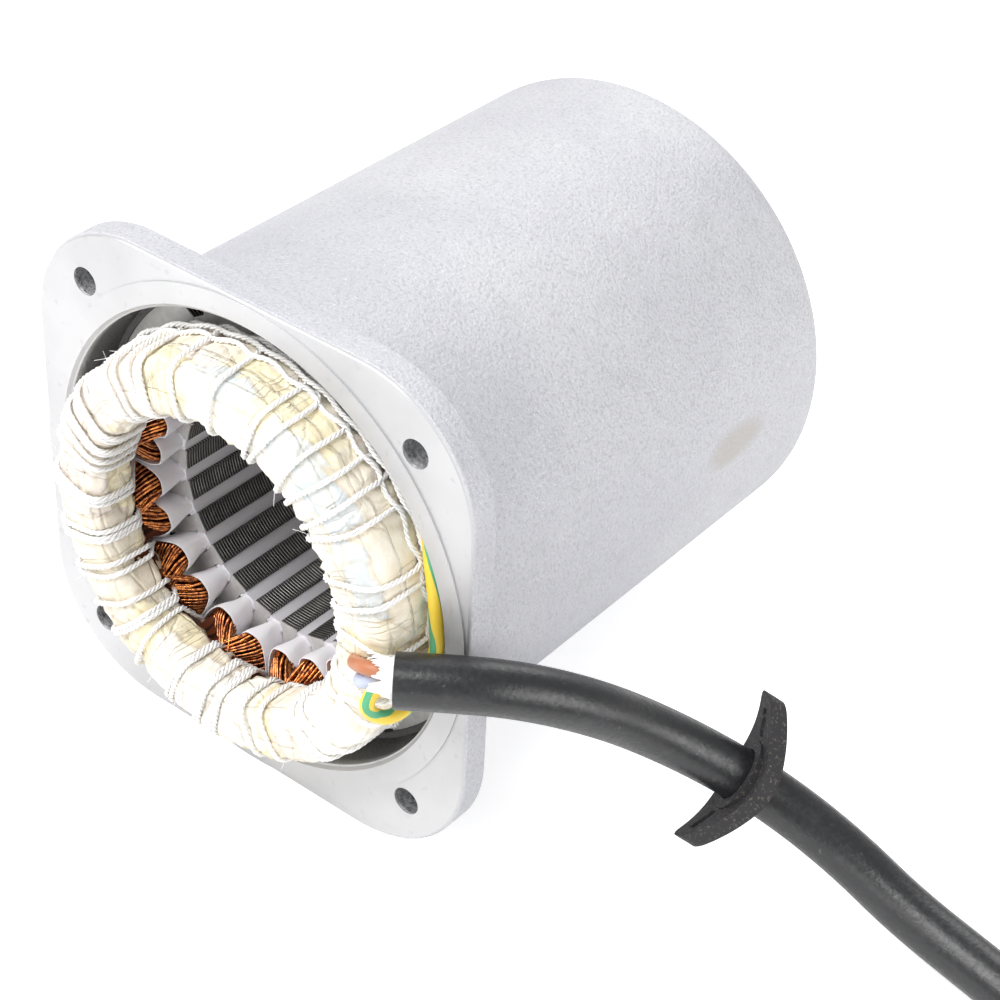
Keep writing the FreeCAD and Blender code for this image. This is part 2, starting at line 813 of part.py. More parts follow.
def main():
    os.makedirs("parts", exist_ok=True)
    save("housing", build_housing())
    save("lamination_core", build_core())
    liner = build_liner()
    for k in range(slot_count):
        save("slot_liner_%02d" % (k + 1), turned(liner, slot_angle(k)))
    wedge = build_wedge()
    save("slot_wedges", Part.makeCompound([turned(wedge, slot_angle(k)) for k in range(slot_count)]))
    start, main_phase = build_windings()
    save("start_winding", start)
    save("main_winding", main_phase)
    paper = build_phase_paper()
    save("phase_paper_front", paper)
    save("phase_paper_rear", at_rear(paper))
    live = build_short_lead(live_lead_angle, live_bends)
    neutral = build_short_lead(neutral_lead_angle, neutral_bends)
    filling = [start, main_phase, paper, at_rear(paper)]
    save("head_tape_front", head_solid(0).cut(filling + [live, neutral]))
    save("head_tape_rear", at_rear(head_solid(0)).cut(filling))
    lacing = build_lacing()
    save("lacing_front", lacing.cut([live, neutral]))
    save("lacing_rear", at_rear(lacing))
    save("live_lead", live.cut(filling))
    save("neutral_lead", neutral.cut(filling))
    save("earth_lead", build_earth_lead())
    save("earth_lug", build_earth_lug())
    save("earth_screw", build_earth_screw())
    save("cable_wrap", build_cable_wrap())
    save("cable", tube(cable_route, cable_radius, "cable"))
    save("cable_coil", build_cable_coil())
    save("clamp_washer", build_washer())
    for k, colour in enumerate(("brown", "blue", "earth")):
        save("end_core_" + colour, build_end_core(k))
        save("ferrule_" + colour, build_ferrule(k))


main()
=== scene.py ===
# %% [markdown]
# # A wound stator
# The piece is the still half of a small motor: a cast pot with a square flange, a stack of punched
# sheets pressed into it, copper wire in the stack's slots, and a supply lead. The solids come from
# the CAD frame, and this lesson dresses them: each cell makes one piece or one finish.

import math
import random

import bpy
import numpy as np
from mathutils import Matrix, Vector, noise


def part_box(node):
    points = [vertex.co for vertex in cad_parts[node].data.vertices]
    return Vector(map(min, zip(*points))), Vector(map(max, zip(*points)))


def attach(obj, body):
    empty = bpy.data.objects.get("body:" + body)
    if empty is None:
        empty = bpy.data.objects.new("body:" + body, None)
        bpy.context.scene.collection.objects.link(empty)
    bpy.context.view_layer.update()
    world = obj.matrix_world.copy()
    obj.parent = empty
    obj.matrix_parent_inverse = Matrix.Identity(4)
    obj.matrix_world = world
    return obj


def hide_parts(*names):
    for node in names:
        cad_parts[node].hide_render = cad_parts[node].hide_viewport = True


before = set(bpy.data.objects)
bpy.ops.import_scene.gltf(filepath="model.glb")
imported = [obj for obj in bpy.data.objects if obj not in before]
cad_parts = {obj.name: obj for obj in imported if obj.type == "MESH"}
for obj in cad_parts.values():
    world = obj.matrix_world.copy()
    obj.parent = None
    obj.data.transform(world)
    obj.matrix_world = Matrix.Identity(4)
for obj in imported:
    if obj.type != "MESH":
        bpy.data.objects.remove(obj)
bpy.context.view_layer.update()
MM = 0.001
print("CAD nodes:", len(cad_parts))

# %% [markdown]
# ## Camera, light and floor
# The camera stands where the photograph was taken, looking down the mouth of the pot. Its place was
# worked out from the flange's four holes, whose spacing is known. A long lens keeps the barrel from
# tapering. The floor is pale and the light is soft, so each colour renders about as it is written.

# %% Camera
bpy.context.scene.view_settings.view_transform = "Standard"
CAMERA_PLACE = Vector((0.251459, -0.256093, 0.279169))
CAMERA_RIGHT = Vector((0.77354, 0.63242, 0.04099))
CAMERA_UP = Vector((-0.40455, 0.44298, 0.80007))
CAMERA_BACK = Vector((0.48783, -0.63546, 0.59851))
CAMERA_LENS = 92.6
CAMERA_SHIFT = (0.00295, -0.00293)
bpy.ops.object.camera_add()
camera = bpy.context.object
camera.name = "camera"
turn = Matrix((CAMERA_RIGHT, CAMERA_UP, CAMERA_BACK)).transposed()
camera.matrix_world = Matrix.Translation(CAMERA_PLACE) @ turn.to_4x4()
camera.data.lens = CAMERA_LENS
camera.data.shift_x, camera.data.shift_y = CAMERA_SHIFT
bpy.context.scene.camera = camera
print("camera:", [round(v, 3) for v in CAMERA_PLACE], "lens:", CAMERA_LENS)

# %% Light
FLOOR_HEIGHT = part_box("housing")[0].z
POT_MIDDLE = (0, 0.03, 0)
MOUTH_MIDDLE = (0, 0, 0)
HEAD_RIGHT = (0.06, 0, 0)
WORLD_STRENGTH = 0.46
LAMPS = [
    # name, place in metres, target, side in metres, power in watts
    ("key_light", (-0.35, -0.45, 0.75), POT_MIDDLE, 0.7, 9.2),
    ("side_light", (0.80, 0.10, 0.06), POT_MIDDLE, 0.5, 3.4),
    ("back_light", (-0.25, 0.8, 0.6), POT_MIDDLE, 0.7, 4.0),
    ("front_light", (0.15, -0.9, 0.30), MOUTH_MIDDLE, 0.5, 1.9),
    ("glint_light", (0.20, -0.38, 0.85), HEAD_RIGHT, 0.22, 1.5),
]


def softbox(name, place, target, side, power):
    """A large square lamp that faces its target."""
    bpy.ops.object.light_add(type="AREA", location=place)
    lamp = bpy.context.object
    lamp.name = name
    lamp.data.size = side
    lamp.data.energy = power
    lamp.rotation_euler = (Vector(target) - Vector(place)).to_track_quat("-Z", "Y").to_euler()


for lamp_row in LAMPS:
    softbox(*lamp_row)
world = bpy.data.worlds.new("studio")
bpy.context.scene.world = world
world.use_nodes = True
sky = world.node_tree.nodes["Background"]
sky.inputs["Color"].default_value = (1, 1, 1, 1)
sky.inputs["Strength"].default_value = WORLD_STRENGTH
print("lamps:", len(LAMPS))

# %% [markdown]
# ## Short calls for materials
# A finish is a tree of nodes. This small class adds a node and joins it in one call, so that each
# finish below reads as a sentence: where the pattern lies, how it varies and which socket it feeds.


# %% Material helper
class Finish:
    """A procedural material: a Principled shader and short calls that add and join nodes."""

    def __init__(self, name, roughness=0.5, metallic=0.0):
        self.material = bpy.data.materials.new(name)
        self.material.use_nodes = True
        self.nodes = self.material.node_tree.nodes
        self.links = self.material.node_tree.links
        self.shader = self.nodes["Principled BSDF"]
        self.place = self.node("TexCoord", {})["Object"]
        self.roughness(roughness)
        self.feed("Metallic", metallic)

    def join(self, value, socket):
        """Sets a socket to a number or colour, or joins it to another node's output."""
        if isinstance(value, bpy.types.NodeSocket):
            self.links.new(value, socket)
        elif isinstance(value, (tuple, list)) and len(value) == 3 and socket.type == "RGBA":
            socket.default_value = (*value, 1.0)
        else:
            socket.default_value = value

    def node(self, kind, inputs, **settings):
        """Adds a node, sets its options, feeds its inputs and returns its outputs."""
        node = self.nodes.new("ShaderNode" + kind)
        for name, value in settings.items():
            setattr(node, name, value)
        for name, value in inputs.items():
            self.join(value, node.inputs[name])
        return node.outputs

    def math(self, operation, a, b=0.0):
        """One sum of two numbers or outputs."""
        return self.node("Math", {0: a, 1: b}, operation=operation)[0]

    def times(self, a, b):
        """One value multiplied by another."""
        return self.math("MULTIPLY", a, b)

    def plus(self, a, b):
        """The sum of two values."""
        return self.math("ADD", a, b)

    def minus(self, a, b):
        """What is left of a value."""
        return self.math("SUBTRACT", a, b)

    def length(self, a, b):
        """How far a place with these coordinates lies from the middle."""
        return self.math("SQRT", self.plus(self.times(a, a), self.times(b, b)))

    def split(self, vector):
        """The three coordinates of a vector."""
        return self.node("SeparateXYZ", {0: vector})

    def stretch(self, vector, scale):
        """A place scaled on each axis, to draw a pattern out."""
        return self.node("VectorMath", {0: vector, 1: scale}, operation="MULTIPLY")[0]

    def shift(self, a, b):
        """A place moved by a vector."""
        return self.node("VectorMath", {0: a, 1: b}, operation="ADD")[0]

    def distance(self, point):
        """How far the surface lies from a point, in metres."""
        return self.node("VectorMath", {0: self.place, 1: point}, operation="DISTANCE")["Value"]

    def noise(self, per_metre, detail=2.0, vector=None, roughness=0.5):
        """Cloudy values of about 0.2 to 0.8, with so many clouds to a metre."""
        place = self.place if vector is None else vector
        inputs = {"Vector": place, "Scale": per_metre, "Detail": detail, "Roughness": roughness}
        return self.node("TexNoise", inputs)["Fac"]

    def cells(self, vector, feature="F1"):
        """Irregular patches: a tint for each, or with DISTANCE_TO_EDGE how far its edge is."""
        outputs = self.node("TexVoronoi", {"Vector": vector, "Scale": 1.0}, feature=feature)
        return outputs["Distance" if feature == "DISTANCE_TO_EDGE" else "Color"]

    def span(self, value, low, high, to_low=0.0, to_high=1.0, smooth=False):
        """Maps low..high of a value to another span, clamped."""
        inputs = {"Value": value, "From Min": low, "From Max": high, "To Min": to_low, "To Max": to_high}
        kind = "SMOOTHSTEP" if smooth else "LINEAR"
        return self.node("MapRange", inputs, interpolation_type=kind)["Result"]

    def blend(self, share, a, b):
        """Colour a where share is 0, and b where it is 1."""
        return self.node("Mix", {"Factor": share, "A": a, "B": b}, data_type="RGBA")["Result"]

    def attribute(self, name):
        """What the mesh keeps for each of its points under a name."""
        return self.node("Attribute", {}, attribute_name=name)

    def feed(self, name, value):
        """Feeds one socket of the shader."""
        self.join(value, self.shader.inputs[name])

    def colour(self, value):
        """Feeds the base colour."""
        self.feed("Base Color", value)

    def roughness(self, value):
        """Feeds the roughness."""
        self.feed("Roughness", value)

    def relief(self, height, strength, depth):
        """Bump from a height of 0 to 1 that stands for a depth in metres."""
        inputs = {"Strength": strength, "Distance": depth, "Height": height}
        normal = self.shader.inputs["Normal"]
        if normal.is_linked:
            inputs["Normal"] = normal.links[0].from_socket
        self.join(self.node("Bump", inputs)[0], normal)


def mottled(name, tones, per_metre, detail=2.0, roughness=0.5, metallic=0.0):
    """A finish whose colour drifts between two tones."""
    finish = Finish(name, roughness, metallic)
    finish.colour(finish.blend(finish.noise(per_metre, detail), *tones))
    return finish


def paint(piece, finish):
    """Gives a piece or a CAD node one material."""
    mesh = piece.data
    if len(mesh.materials) == 0:
        mesh.materials.append(finish.material)
    for k in range(len(mesh.materials)):
        mesh.materials[k] = finish.material


def dress(piece, slot, finish, *replaced):
    """Paints a new piece, fixes it to the object and hides the CAD nodes it stands for."""
    paint(piece, finish)
    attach(piece, "root")
    if replaced:
        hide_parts(*replaced)
    return piece


# %% [markdown]
# ## Short calls for modelling
# An operator acts on all that is selected, so every step begins with nothing selected. A finished
# piece keeps its object at the origin, with its place in the mesh.


# %% Modelling helpers
def only(piece):
    """Selects one object and makes it the active one."""
    bpy.ops.object.select_all(action="DESELECT")
    piece.select_set(True)
    bpy.context.view_layer.objects.active = piece


def settle(piece):
    """Moves an object's place, turn and scale into its mesh."""
    only(piece)
    bpy.ops.object.transform_apply(location=True, rotation=True, scale=True)


def modify(piece, kind, **settings):
    """Adds a modifier, sets it and applies it."""
    only(piece)
    modifier = piece.modifiers.new(kind.lower(), kind)
    for name, value in settings.items():
        setattr(modifier, name, value)
    bpy.ops.object.modifier_apply(modifier=modifier.name)


def smooth(piece, degrees):
    """Shades a piece smooth, but for edges sharper than an angle."""
    only(piece)
    bpy.ops.object.shade_smooth_by_angle(angle=math.radians(degrees))


def copy_of(piece, name):
    """A copy with its own mesh."""
    twin = piece.copy()
    twin.data = piece.data.copy()
    twin.name = name
    bpy.context.scene.collection.objects.link(twin)
    return twin


def join_all(pieces, name):
    """Joins pieces into the first of them and names it."""
    only(pieces[0])
    for piece in pieces:
        piece.select_set(True)
    bpy.ops.object.join()
    pieces[0].name = name
    return pieces[0]


def outward_faces(piece):
    """Turns all faces of a closed or tubular mesh to its outside."""
    only(piece)
    bpy.ops.object.mode_set(mode="EDIT")
    bpy.ops.mesh.select_all(action="SELECT")
    bpy.ops.mesh.normals_make_consistent(inside=False)
    bpy.ops.object.mode_set(mode="OBJECT")


def about_axis(angle):
    """The turn about the bore axis that takes +X to an angle measured towards +Z."""
    return Matrix.Rotation(-math.radians(angle), 4, "Y")


def on_ring(radius, angle, y):
    """A point at a radius and an angle round the bore axis."""
    a = math.radians(angle)
    return Vector((radius * math.cos(a), y, radius * math.sin(a)))


def round_curve(name, lines, radius, sides, kind="POLY"):
    """A round curve along each list of points; sides counts its bevel steps."""
    curve = bpy.data.curves.new(name, "CURVE")
    curve.dimensions = "3D"
    curve.bevel_depth = radius
    curve.bevel_resolution = sides
    curve.use_fill_caps = True
    for line in lines:
        spline = curve.splines.new(kind)
        spline.points.add(len(line) - 1)
        for point, place in zip(spline.points, line):
            point.co = (*place, 1.0)
    piece = bpy.data.objects.new(name, curve)
    bpy.context.scene.collection.objects.link(piece)
    return piece


def threads(name, lines, radius, sides):
    """Round threads along lists of points, as one mesh."""
    only(round_curve(name, lines, radius, sides))
    bpy.ops.object.convert(target="MESH")
    bpy.ops.object.shade_smooth()
    return bpy.context.object


def distances_along(points):
    """How far each point of a line lies from its first."""
    gone = [0.0]
    for a, b in zip(points, points[1:]):
        gone.append(gone[-1] + (b - a).length)
    return gone


# %% [markdown]
# ## The supply lead
# A free cord comes early, because its unseen length decides how much room the model takes. It is
# one smooth curve through the given points of its route, and the turns of the put-away coil
# are more points of the same curve. The lead is stiff rubber, so its bends are wide.

# %% Route of the lead
CABLE_DIAMETER = 9.7 * MM
CABLE_REST = FLOOR_HEIGHT + 0.05 * MM + CABLE_DIAMETER / 2
COIL_ENTRY_Y = 36.5 * MM
COIL_CENTRE_X = 206.0 * MM
OUTER_TURN = 57.85 * MM
INNER_TURN = OUTER_TURN - CABLE_DIAMETER
COIL_CENTRE_Y = COIL_ENTRY_Y - OUTER_TURN
SHEATH_END_ANGLE = 121.0
QUARTER = 90
COIL_TURNS = 4
FIRST_INWARD, LAYER_RISE, LAST_OUTWARD = (290, 380), (640, 730), (1010, 1100)
TURN_POINTS = 16
CABLE_POINTS = [
    (0.0453, -0.0125, 0.0025),
    (0.0540, -0.0062, 0.0027),
    (0.0605, 0.0020, -0.0002),
    (0.0665, 0.0121, -0.0064),
    (0.0713, 0.0234, -0.0157),
    (0.0805, 0.0335, -0.0252),
    (0.0915, 0.0396, -0.0326),
    (0.1040, 0.0423, -0.0389),
    (0.1168, 0.0419, -0.0438),
    (0.1330, 0.0403, CABLE_REST),
    (0.1525, COIL_ENTRY_Y, CABLE_REST),
    (0.1715, COIL_ENTRY_Y, CABLE_REST),
    (0.1890, COIL_ENTRY_Y, CABLE_REST),
]


def ease(value, low, high):
    """0 below low, 1 above high and a smooth rise between."""
    t = min(1.0, max(0.0, (value - low) / (high - low)))
    return t * t * (3 - 2 * t)


def coil_point(degrees):
    """A point of the coil after so many degrees, clockwise from above: out, in, up, in, out."""
    inward = ease(degrees, *FIRST_INWARD) - ease(degrees, *LAST_OUTWARD)
    layer = ease(degrees, *LAYER_RISE)
    radius = OUTER_TURN + (INNER_TURN - OUTER_TURN) * inward
    angle = math.radians(QUARTER - degrees)
    return (COIL_CENTRE_X + radius * math.cos(angle), COIL_CENTRE_Y + radius * math.sin(angle),
            CABLE_REST + CABLE_DIAMETER * layer)


COIL_SWEEP = COIL_TURNS * 360 + QUARTER - SHEATH_END_ANGLE
coil_steps = round(COIL_SWEEP / 360 * TURN_POINTS)
coil_points = [coil_point(COIL_SWEEP * k / coil_steps) for k in range(coil_steps + 1)]
print("turns of the coil:", round(COIL_SWEEP / 360, 2))

# %% Curve of the lead
CABLE_SIDES = CABLE_STEPS = 8
route = CABLE_POINTS + coil_points
supply_lead = round_curve("supply_lead", [route], CABLE_DIAMETER / 2, CABLE_SIDES, "NURBS")
supply_lead.data.resolution_u = CABLE_STEPS
supply_lead.data.splines[0].order_u = 3
supply_lead.data.splines[0].use_endpoint_u = True
print("points of the lead:", len(route))

# %% Rubber of the lead
RUBBER, DUSTED_RUBBER, SPECK = (0.010, 0.0105, 0.012), (0.050, 0.051, 0.056), (0.26, 0.25, 0.23)
rubber = Finish("dusty_rubber", roughness=0.5)
rubber.feed("Specular IOR Level", 0.7)
grain = rubber.noise(1300, 3)
dust = rubber.span(rubber.noise(260, 4), 0.56, 0.72)
specks = rubber.span(rubber.noise(1100, 3), 0.68, 0.76)
dusted = rubber.blend(rubber.times(dust, 0.25), RUBBER, DUSTED_RUBBER)
rubber.colour(rubber.blend(rubber.times(specks, 0.22), dusted, SPECK))
rubber.roughness(rubber.span(grain, 0.3, 0.7, 0.30, 0.44))
rubber.relief(grain, 0.6, 0.13 * MM)
dress(supply_lead, "black_rubber", rubber, "cable", "cable_coil")
print("rubber nodes:", len(rubber.nodes))

# %% [markdown]
# ## Cast aluminium
# The pot is one casting with several skins: the barrel is shot-blasted, with its sparkle painted in as
# bright specks, the flange and the mouth are turned on a lathe, and the bolt holes keep rough dark
# walls. The mouth's wall has painted light at its rim and painted shade deeper in. Handling has left
# a rub mark on the barrel, and a dark reflection is painted on the flange beside the lead. Painting
# each skin on a face of its own would need cuts in the solid, so one material tells them apart by
# place: first masks of 0 and 1, then the tones, and last one tone laid over the other.

# %% Where each skin of the pot lies
MOUTH_RADIUS = 45.4 * MM
MOUTH_END = 108 * MM
HOLE_OFFSET = 38 * MM
HOLE_EDGE = 2.8 * MM
pot = Finish("pot_aluminium", roughness=0.5, metallic=0.35)
x, y, z = pot.split(pot.place)
front_face = pot.span(y, 0.2 * MM, 0.5 * MM, 1.0, 0.0)
in_mouth = pot.span(pot.length(x, z), MOUTH_RADIUS, MOUTH_RADIUS + 0.4 * MM, 1.0, 0.0)
mouth_wall = pot.times(in_mouth, pot.span(y, 0.3 * MM, 0.5 * MM))
mouth_wall = pot.times(mouth_wall, pot.span(y, MOUTH_END, MOUTH_END + MM, 1.0, 0.0))
hole_x = pot.minus(pot.math("ABSOLUTE", x), HOLE_OFFSET)
hole_z = pot.minus(pot.math("ABSOLUTE", z), HOLE_OFFSET)
in_hole = pot.span(pot.length(hole_x, hole_z), HOLE_EDGE, HOLE_EDGE + 0.1 * MM, 1.0, 0.0)
hole_wall = pot.times(in_hole, pot.span(y, 0.1 * MM, 0.2 * MM))
print("radius of the mouth:", MOUTH_RADIUS)

# %% Tones of the pot
blast = pot.noise(1500, 3, roughness=0.65)
cloud = pot.noise(28, 4)
fine_cloud = pot.noise(160, 3)
glint_speckle = pot.noise(2600, 1)
blasted = pot.blend(pot.span(cloud, 0.35, 0.7), (0.54, 0.54, 0.58), (0.62, 0.62, 0.645))
blasted = pot.blend(pot.span(fine_cloud, 0.55, 0.75, 0.0, 0.35), blasted, (0.48, 0.485, 0.51))
# Painted glints: bright specks stand for the blasted skin's sparkle.
blasted = pot.blend(pot.span(glint_speckle, 0.62, 0.72, 0.0, 0.45), blasted, (0.85, 0.85, 0.87))
blasted = pot.blend(pot.span(blast, 0.32, 0.5, 0.45, 0.0), blasted, (0.33, 0.33, 0.36))
face_and_reflection = pot.blend(pot.span(cloud, 0.4, 0.62), (0.56, 0.56, 0.57), (0.48, 0.48, 0.49))
face_and_reflection = pot.blend(pot.span(pot.noise(420, 2), 0.63, 0.72, 0.0, 0.5), face_and_reflection, (0.42, 0.42, 0.44))
# Painted light and shade on the mouth's wall: light near the rim, dark deeper in the mouth.
deep_wall_shade = pot.blend(pot.noise(60, 2), (0.14, 0.14, 0.14), (0.22, 0.215, 0.21))
wall_light_and_shade = pot.blend(pot.span(y, 0.4 * MM, 2.5 * MM, 1.0, 0.0), deep_wall_shade, (0.62, 0.62, 0.62))
hole_grain = pot.span(pot.noise(1300, 4, roughness=0.7), 0.35, 0.65)
hole_tone = pot.blend(hole_grain, (0.12, 0.12, 0.125), (0.46, 0.46, 0.47))
print("nodes of the pot so far:", len(pot.nodes))

# %% Painted dark reflection on the flange and rub mark on the barrel
REFLECTION_SPOT = (0.0480, 0.0, 0.0015)
RUB_ALONG, RUB_UP = (82 * MM, 10 * MM), (1.5 * MM, 4.5 * MM)
# A dark reflection is painted on the flange face beside the lead, with a streaky edge.
reflection_streaks = pot.times(pot.noise(90, 3, pot.stretch(pot.place, (8, 1, 1))), 5 * MM)
reflection_share = pot.span(pot.plus(pot.distance(REFLECTION_SPOT), reflection_streaks), 6 * MM, 14 * MM, 0.80, 0.0)
face_and_reflection = pot.blend(reflection_share, face_and_reflection, (0.17, 0.17, 0.175))
rub_along = pot.math("DIVIDE", pot.minus(y, RUB_ALONG[0]), RUB_ALONG[1])
rub_up = pot.math("DIVIDE", pot.minus(z, RUB_UP[0]), RUB_UP[1])
rub_oval = pot.plus(pot.times(rub_along, rub_along), pot.times(rub_up, rub_up))
rub_oval = pot.plus(rub_oval, pot.noise(420, 5, roughness=0.7))
rub = pot.times(pot.span(x, 40 * MM, 44 * MM), pot.span(rub_oval, 0.8, 1.6, 0.85, 0.0))
print("painted_reflection patch at:", REFLECTION_SPOT)

# %% Skins laid over one another
skin = pot.blend(front_face, blasted, face_and_reflection)
skin = pot.blend(mouth_wall, skin, wall_light_and_shade)
skin = pot.blend(hole_wall, skin, hole_tone)
skin = pot.blend(rub, skin, (0.50, 0.475, 0.46))
pot.colour(skin)
not_faced = pot.minus(1.0, front_face)
rough_cast = pot.times(pot.span(cloud, 0.3, 0.7, 0.50, 0.60), not_faced)
pot.roughness(pot.plus(rough_cast, pot.times(0.36, front_face)))
pot.relief(pot.times(blast, not_faced), 1.0, 0.42 * MM)
paint(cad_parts["housing"], pot)
print("pot nodes:", len(pot.nodes))

# %% [markdown]
# ## The stack of sheets
# The stack is about a hundred punched sheets, pressed together. Their edges show as fine ridges on
# each tooth, a bright edge and a dark joint by turns. Bump alone would leave the teeth flat, so one
# ridge is modelled over the tooth's tip, an Array makes the column of them, and each tooth gets a
# copy. The rest of the stack keeps its solid.

# %% Stack finish
CORE_FRONT, CORE_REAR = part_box("lamination_core")[0].y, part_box("lamination_core")[1].y
BORE_RADIUS = 25.25 * MM
SLOTS = 24
PITCH = 360.0 / SLOTS
SHEET = 0.65 * MM

stack = Finish("sheet_steel", roughness=0.45, metallic=0.5)
depth = stack.split(stack.place)["Y"]
sheet_phase = stack.math("FRACT", stack.math("DIVIDE", stack.minus(depth, CORE_FRONT), SHEET))
behind_face = stack.span(depth, CORE_FRONT + 0.3 * MM, CORE_FRONT + 0.5 * MM)
seam = stack.times(stack.span(sheet_phase, 0.50, 0.56), behind_face)
side_tone = stack.blend(stack.noise(350, 4), (0.20, 0.185, 0.17), (0.42, 0.40, 0.38))
punched_tone = stack.blend(stack.noise(900, 4), (0.50, 0.49, 0.47), (0.80, 0.79, 0.77))
on_side = stack.span(depth, CORE_FRONT, CORE_FRONT + 0.2 * MM)
face_tone = stack.blend(on_side, punched_tone, side_tone)
stack.colour(stack.blend(seam, face_tone, (0.02, 0.02, 0.02)))
stack.relief(stack.noise(1500, 3), 0.4, 0.1 * MM)
paint(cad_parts["lamination_core"], stack)

edges = mottled("sheet_edges", ((0.09, 0.085, 0.08), (0.30, 0.29, 0.28)), 500, 2, 0.34, 0.9)
edges.relief(edges.noise(2500, 2), 0.3, 0.05 * MM)
print("slots:", SLOTS, "from", round(CORE_FRONT, 4), "to", round(CORE_REAR, 4))

# %% One column of sheet edges
TIP_HALF = 3.93 / 2 * MM
EDGE_WIDTH = 0.34 * MM
EDGE_DEPTH = 0.10 * MM
EDGE_BREAK = 0.07 * MM
bpy.ops.object.select_all(action="DESELECT")
first_edge = (BORE_RADIUS + 0.01 * MM, CORE_FRONT + EDGE_WIDTH / 2, 0)
bpy.ops.mesh.primitive_cube_add(size=1, location=first_edge)
tooth_edges = bpy.context.object
tooth_edges.scale = (2 * EDGE_DEPTH, EDGE_WIDTH, 2 * TIP_HALF)
settle(tooth_edges)
modify(tooth_edges, "BEVEL", width=EDGE_BREAK, segments=1)
sheets = int((CORE_REAR - CORE_FRONT) / SHEET)
modify(tooth_edges, "ARRAY", use_relative_offset=False, use_constant_offset=True,
       constant_offset_displace=(0, SHEET, 0), count=sheets)
columns = []
for k in range(SLOTS):
    column = copy_of(tooth_edges, "column")
    column.data.transform(about_axis(k * PITCH))
    columns.append(column)
bpy.data.objects.remove(tooth_edges)
tooth_columns = join_all(columns, "tooth_sheet_edges")
dress(tooth_columns, "lamination_steel", edges)
print("sheets:", sheets, "edge faces:", len(tooth_columns.data.polygons))

# %% [markdown]
# ## Slot liners
# Each slot is lined with one folded paper. Outside the stack it opens into a funnel that keeps the
# wires off the steel. It could be lofted between two outlines, but a circle that is extruded ring
# by ring gives a plain tube with known rings. Each ring then takes the slot's outline, the funnel's
# mouth or a shape between them, and Solidify gives the paper its thickness.

# %% Paper and wedge finishes
paper = mottled("liner_paper", ((0.92, 0.87, 0.91), (0.98, 0.94, 0.97)), 120, 3, 0.42)
paper.feed("Subsurface Weight", 0.15)
paper.feed("Subsurface Scale", 0.6 * MM)
paper.relief(paper.noise(700, 3), 0.2, 0.06 * MM)
wedge = Finish("fibre_strip", roughness=0.5)
long_grain = wedge.stretch(wedge.place, (1, 0.1, 1))
wedge.colour(wedge.blend(wedge.noise(300, 3, long_grain), (0.62, 0.60, 0.64), (0.78, 0.77, 0.80)))
wedge.relief(wedge.noise(900, 2, long_grain), 0.2, 0.05 * MM)
paint(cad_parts["slot_wedges"], wedge)
print("paper nodes:", len(paper.nodes), "wedge nodes:", len(wedge.nodes))

# %% Outlines of the slot and of the funnel's mouth
SLOT_MIDDLE = 31.6
SLOT_REACH = 5.45
MOUTH_MIDDLE_RADIUS = 32.2
MOUTH_REACH = 6.3
HALF_PITCH = 0.1305
HALF_TOOTH = 1.5
NECK_HALF = 1.15
# Half the neck's width with the paper's distance from the steel.
NECK_AND_INSET = 1.25
NECK_ENDS = (26.0, 29.0)
SLOT_ROUND, MOUTH_ROUND = 0.45, 0.62
MOUTH_SHARE = 0.93
CUFF_DEPTH = 5.9
CUFF_POINTS = 36
PAPER_THICKNESS = 0.20 * MM
LINER_MIDDLE = (CORE_FRONT + CORE_REAR) / 2


def slot_outline(t):
    """Slot section in the stack: narrow at the bore and wide outside; t runs round it."""
    a = 2 * math.pi * t
    radius = SLOT_MIDDLE + SLOT_REACH * math.cos(a)
    wider = radius * HALF_PITCH - HALF_TOOTH - NECK_AND_INSET
    half = (NECK_HALF + wider * ease(radius, *NECK_ENDS)) * abs(math.sin(a)) ** SLOT_ROUND
    return radius * MM, math.copysign(half, math.sin(a)) * MM


def mouth_outline(t, wobble):
    """The funnel's mouth: a rounded oblong that nearly meets its neighbours."""
    a = 2 * math.pi * t
    radius = MOUTH_MIDDLE_RADIUS + (MOUTH_REACH + 0.2 * wobble) * math.cos(a)
    half = radius * HALF_PITCH * MOUTH_SHARE * abs(math.sin(a)) ** MOUTH_ROUND
    return radius * MM, math.copysign(half, math.sin(a)) * MM


def sleeve_outline(t, flare, wobble=0.0):
    """The slot's outline where flare is 0, the mouth's where it is 1, and between."""
    r0, h0 = slot_outline(t)
    r1, h1 = mouth_outline(t, wobble)
    return r0 + (r1 - r0) * flare, h0 + (h1 - h0) * flare


print("side of the slot at its middle:", slot_outline(0.25))

# %% Rings of a sleeve
FUNNEL_DEPTHS = [CUFF_DEPTH, 5.6, 5.0, 4.2, 3.4, 2.6, 1.8, 1.0, 0.3, -3.0]
FUNNEL_RINGS = [(CORE_FRONT - d * MM, ease(d, 0.0, CUFF_DEPTH)) for d in FUNNEL_DEPTHS]
SLEEVE_RINGS = FUNNEL_RINGS + [(2 * LINER_MIDDLE - y, flare) for y, flare in reversed(FUNNEL_RINGS)]


def plain_tube(around, rings):
    """A plain open tube, extruded ring by ring; its height counts the rings."""
    bpy.ops.object.select_all(action="DESELECT")
    bpy.ops.mesh.primitive_circle_add(vertices=around, radius=1, fill_type="NOTHING")
    bpy.ops.object.mode_set(mode="EDIT")
    bpy.ops.mesh.select_all(action="SELECT")
    for _ in range(rings - 1):
        bpy.ops.mesh.extrude_edges_move(TRANSFORM_OT_translate={"value": (0, 0, 1)})
    bpy.ops.object.mode_set(mode="OBJECT")
    return bpy.context.object


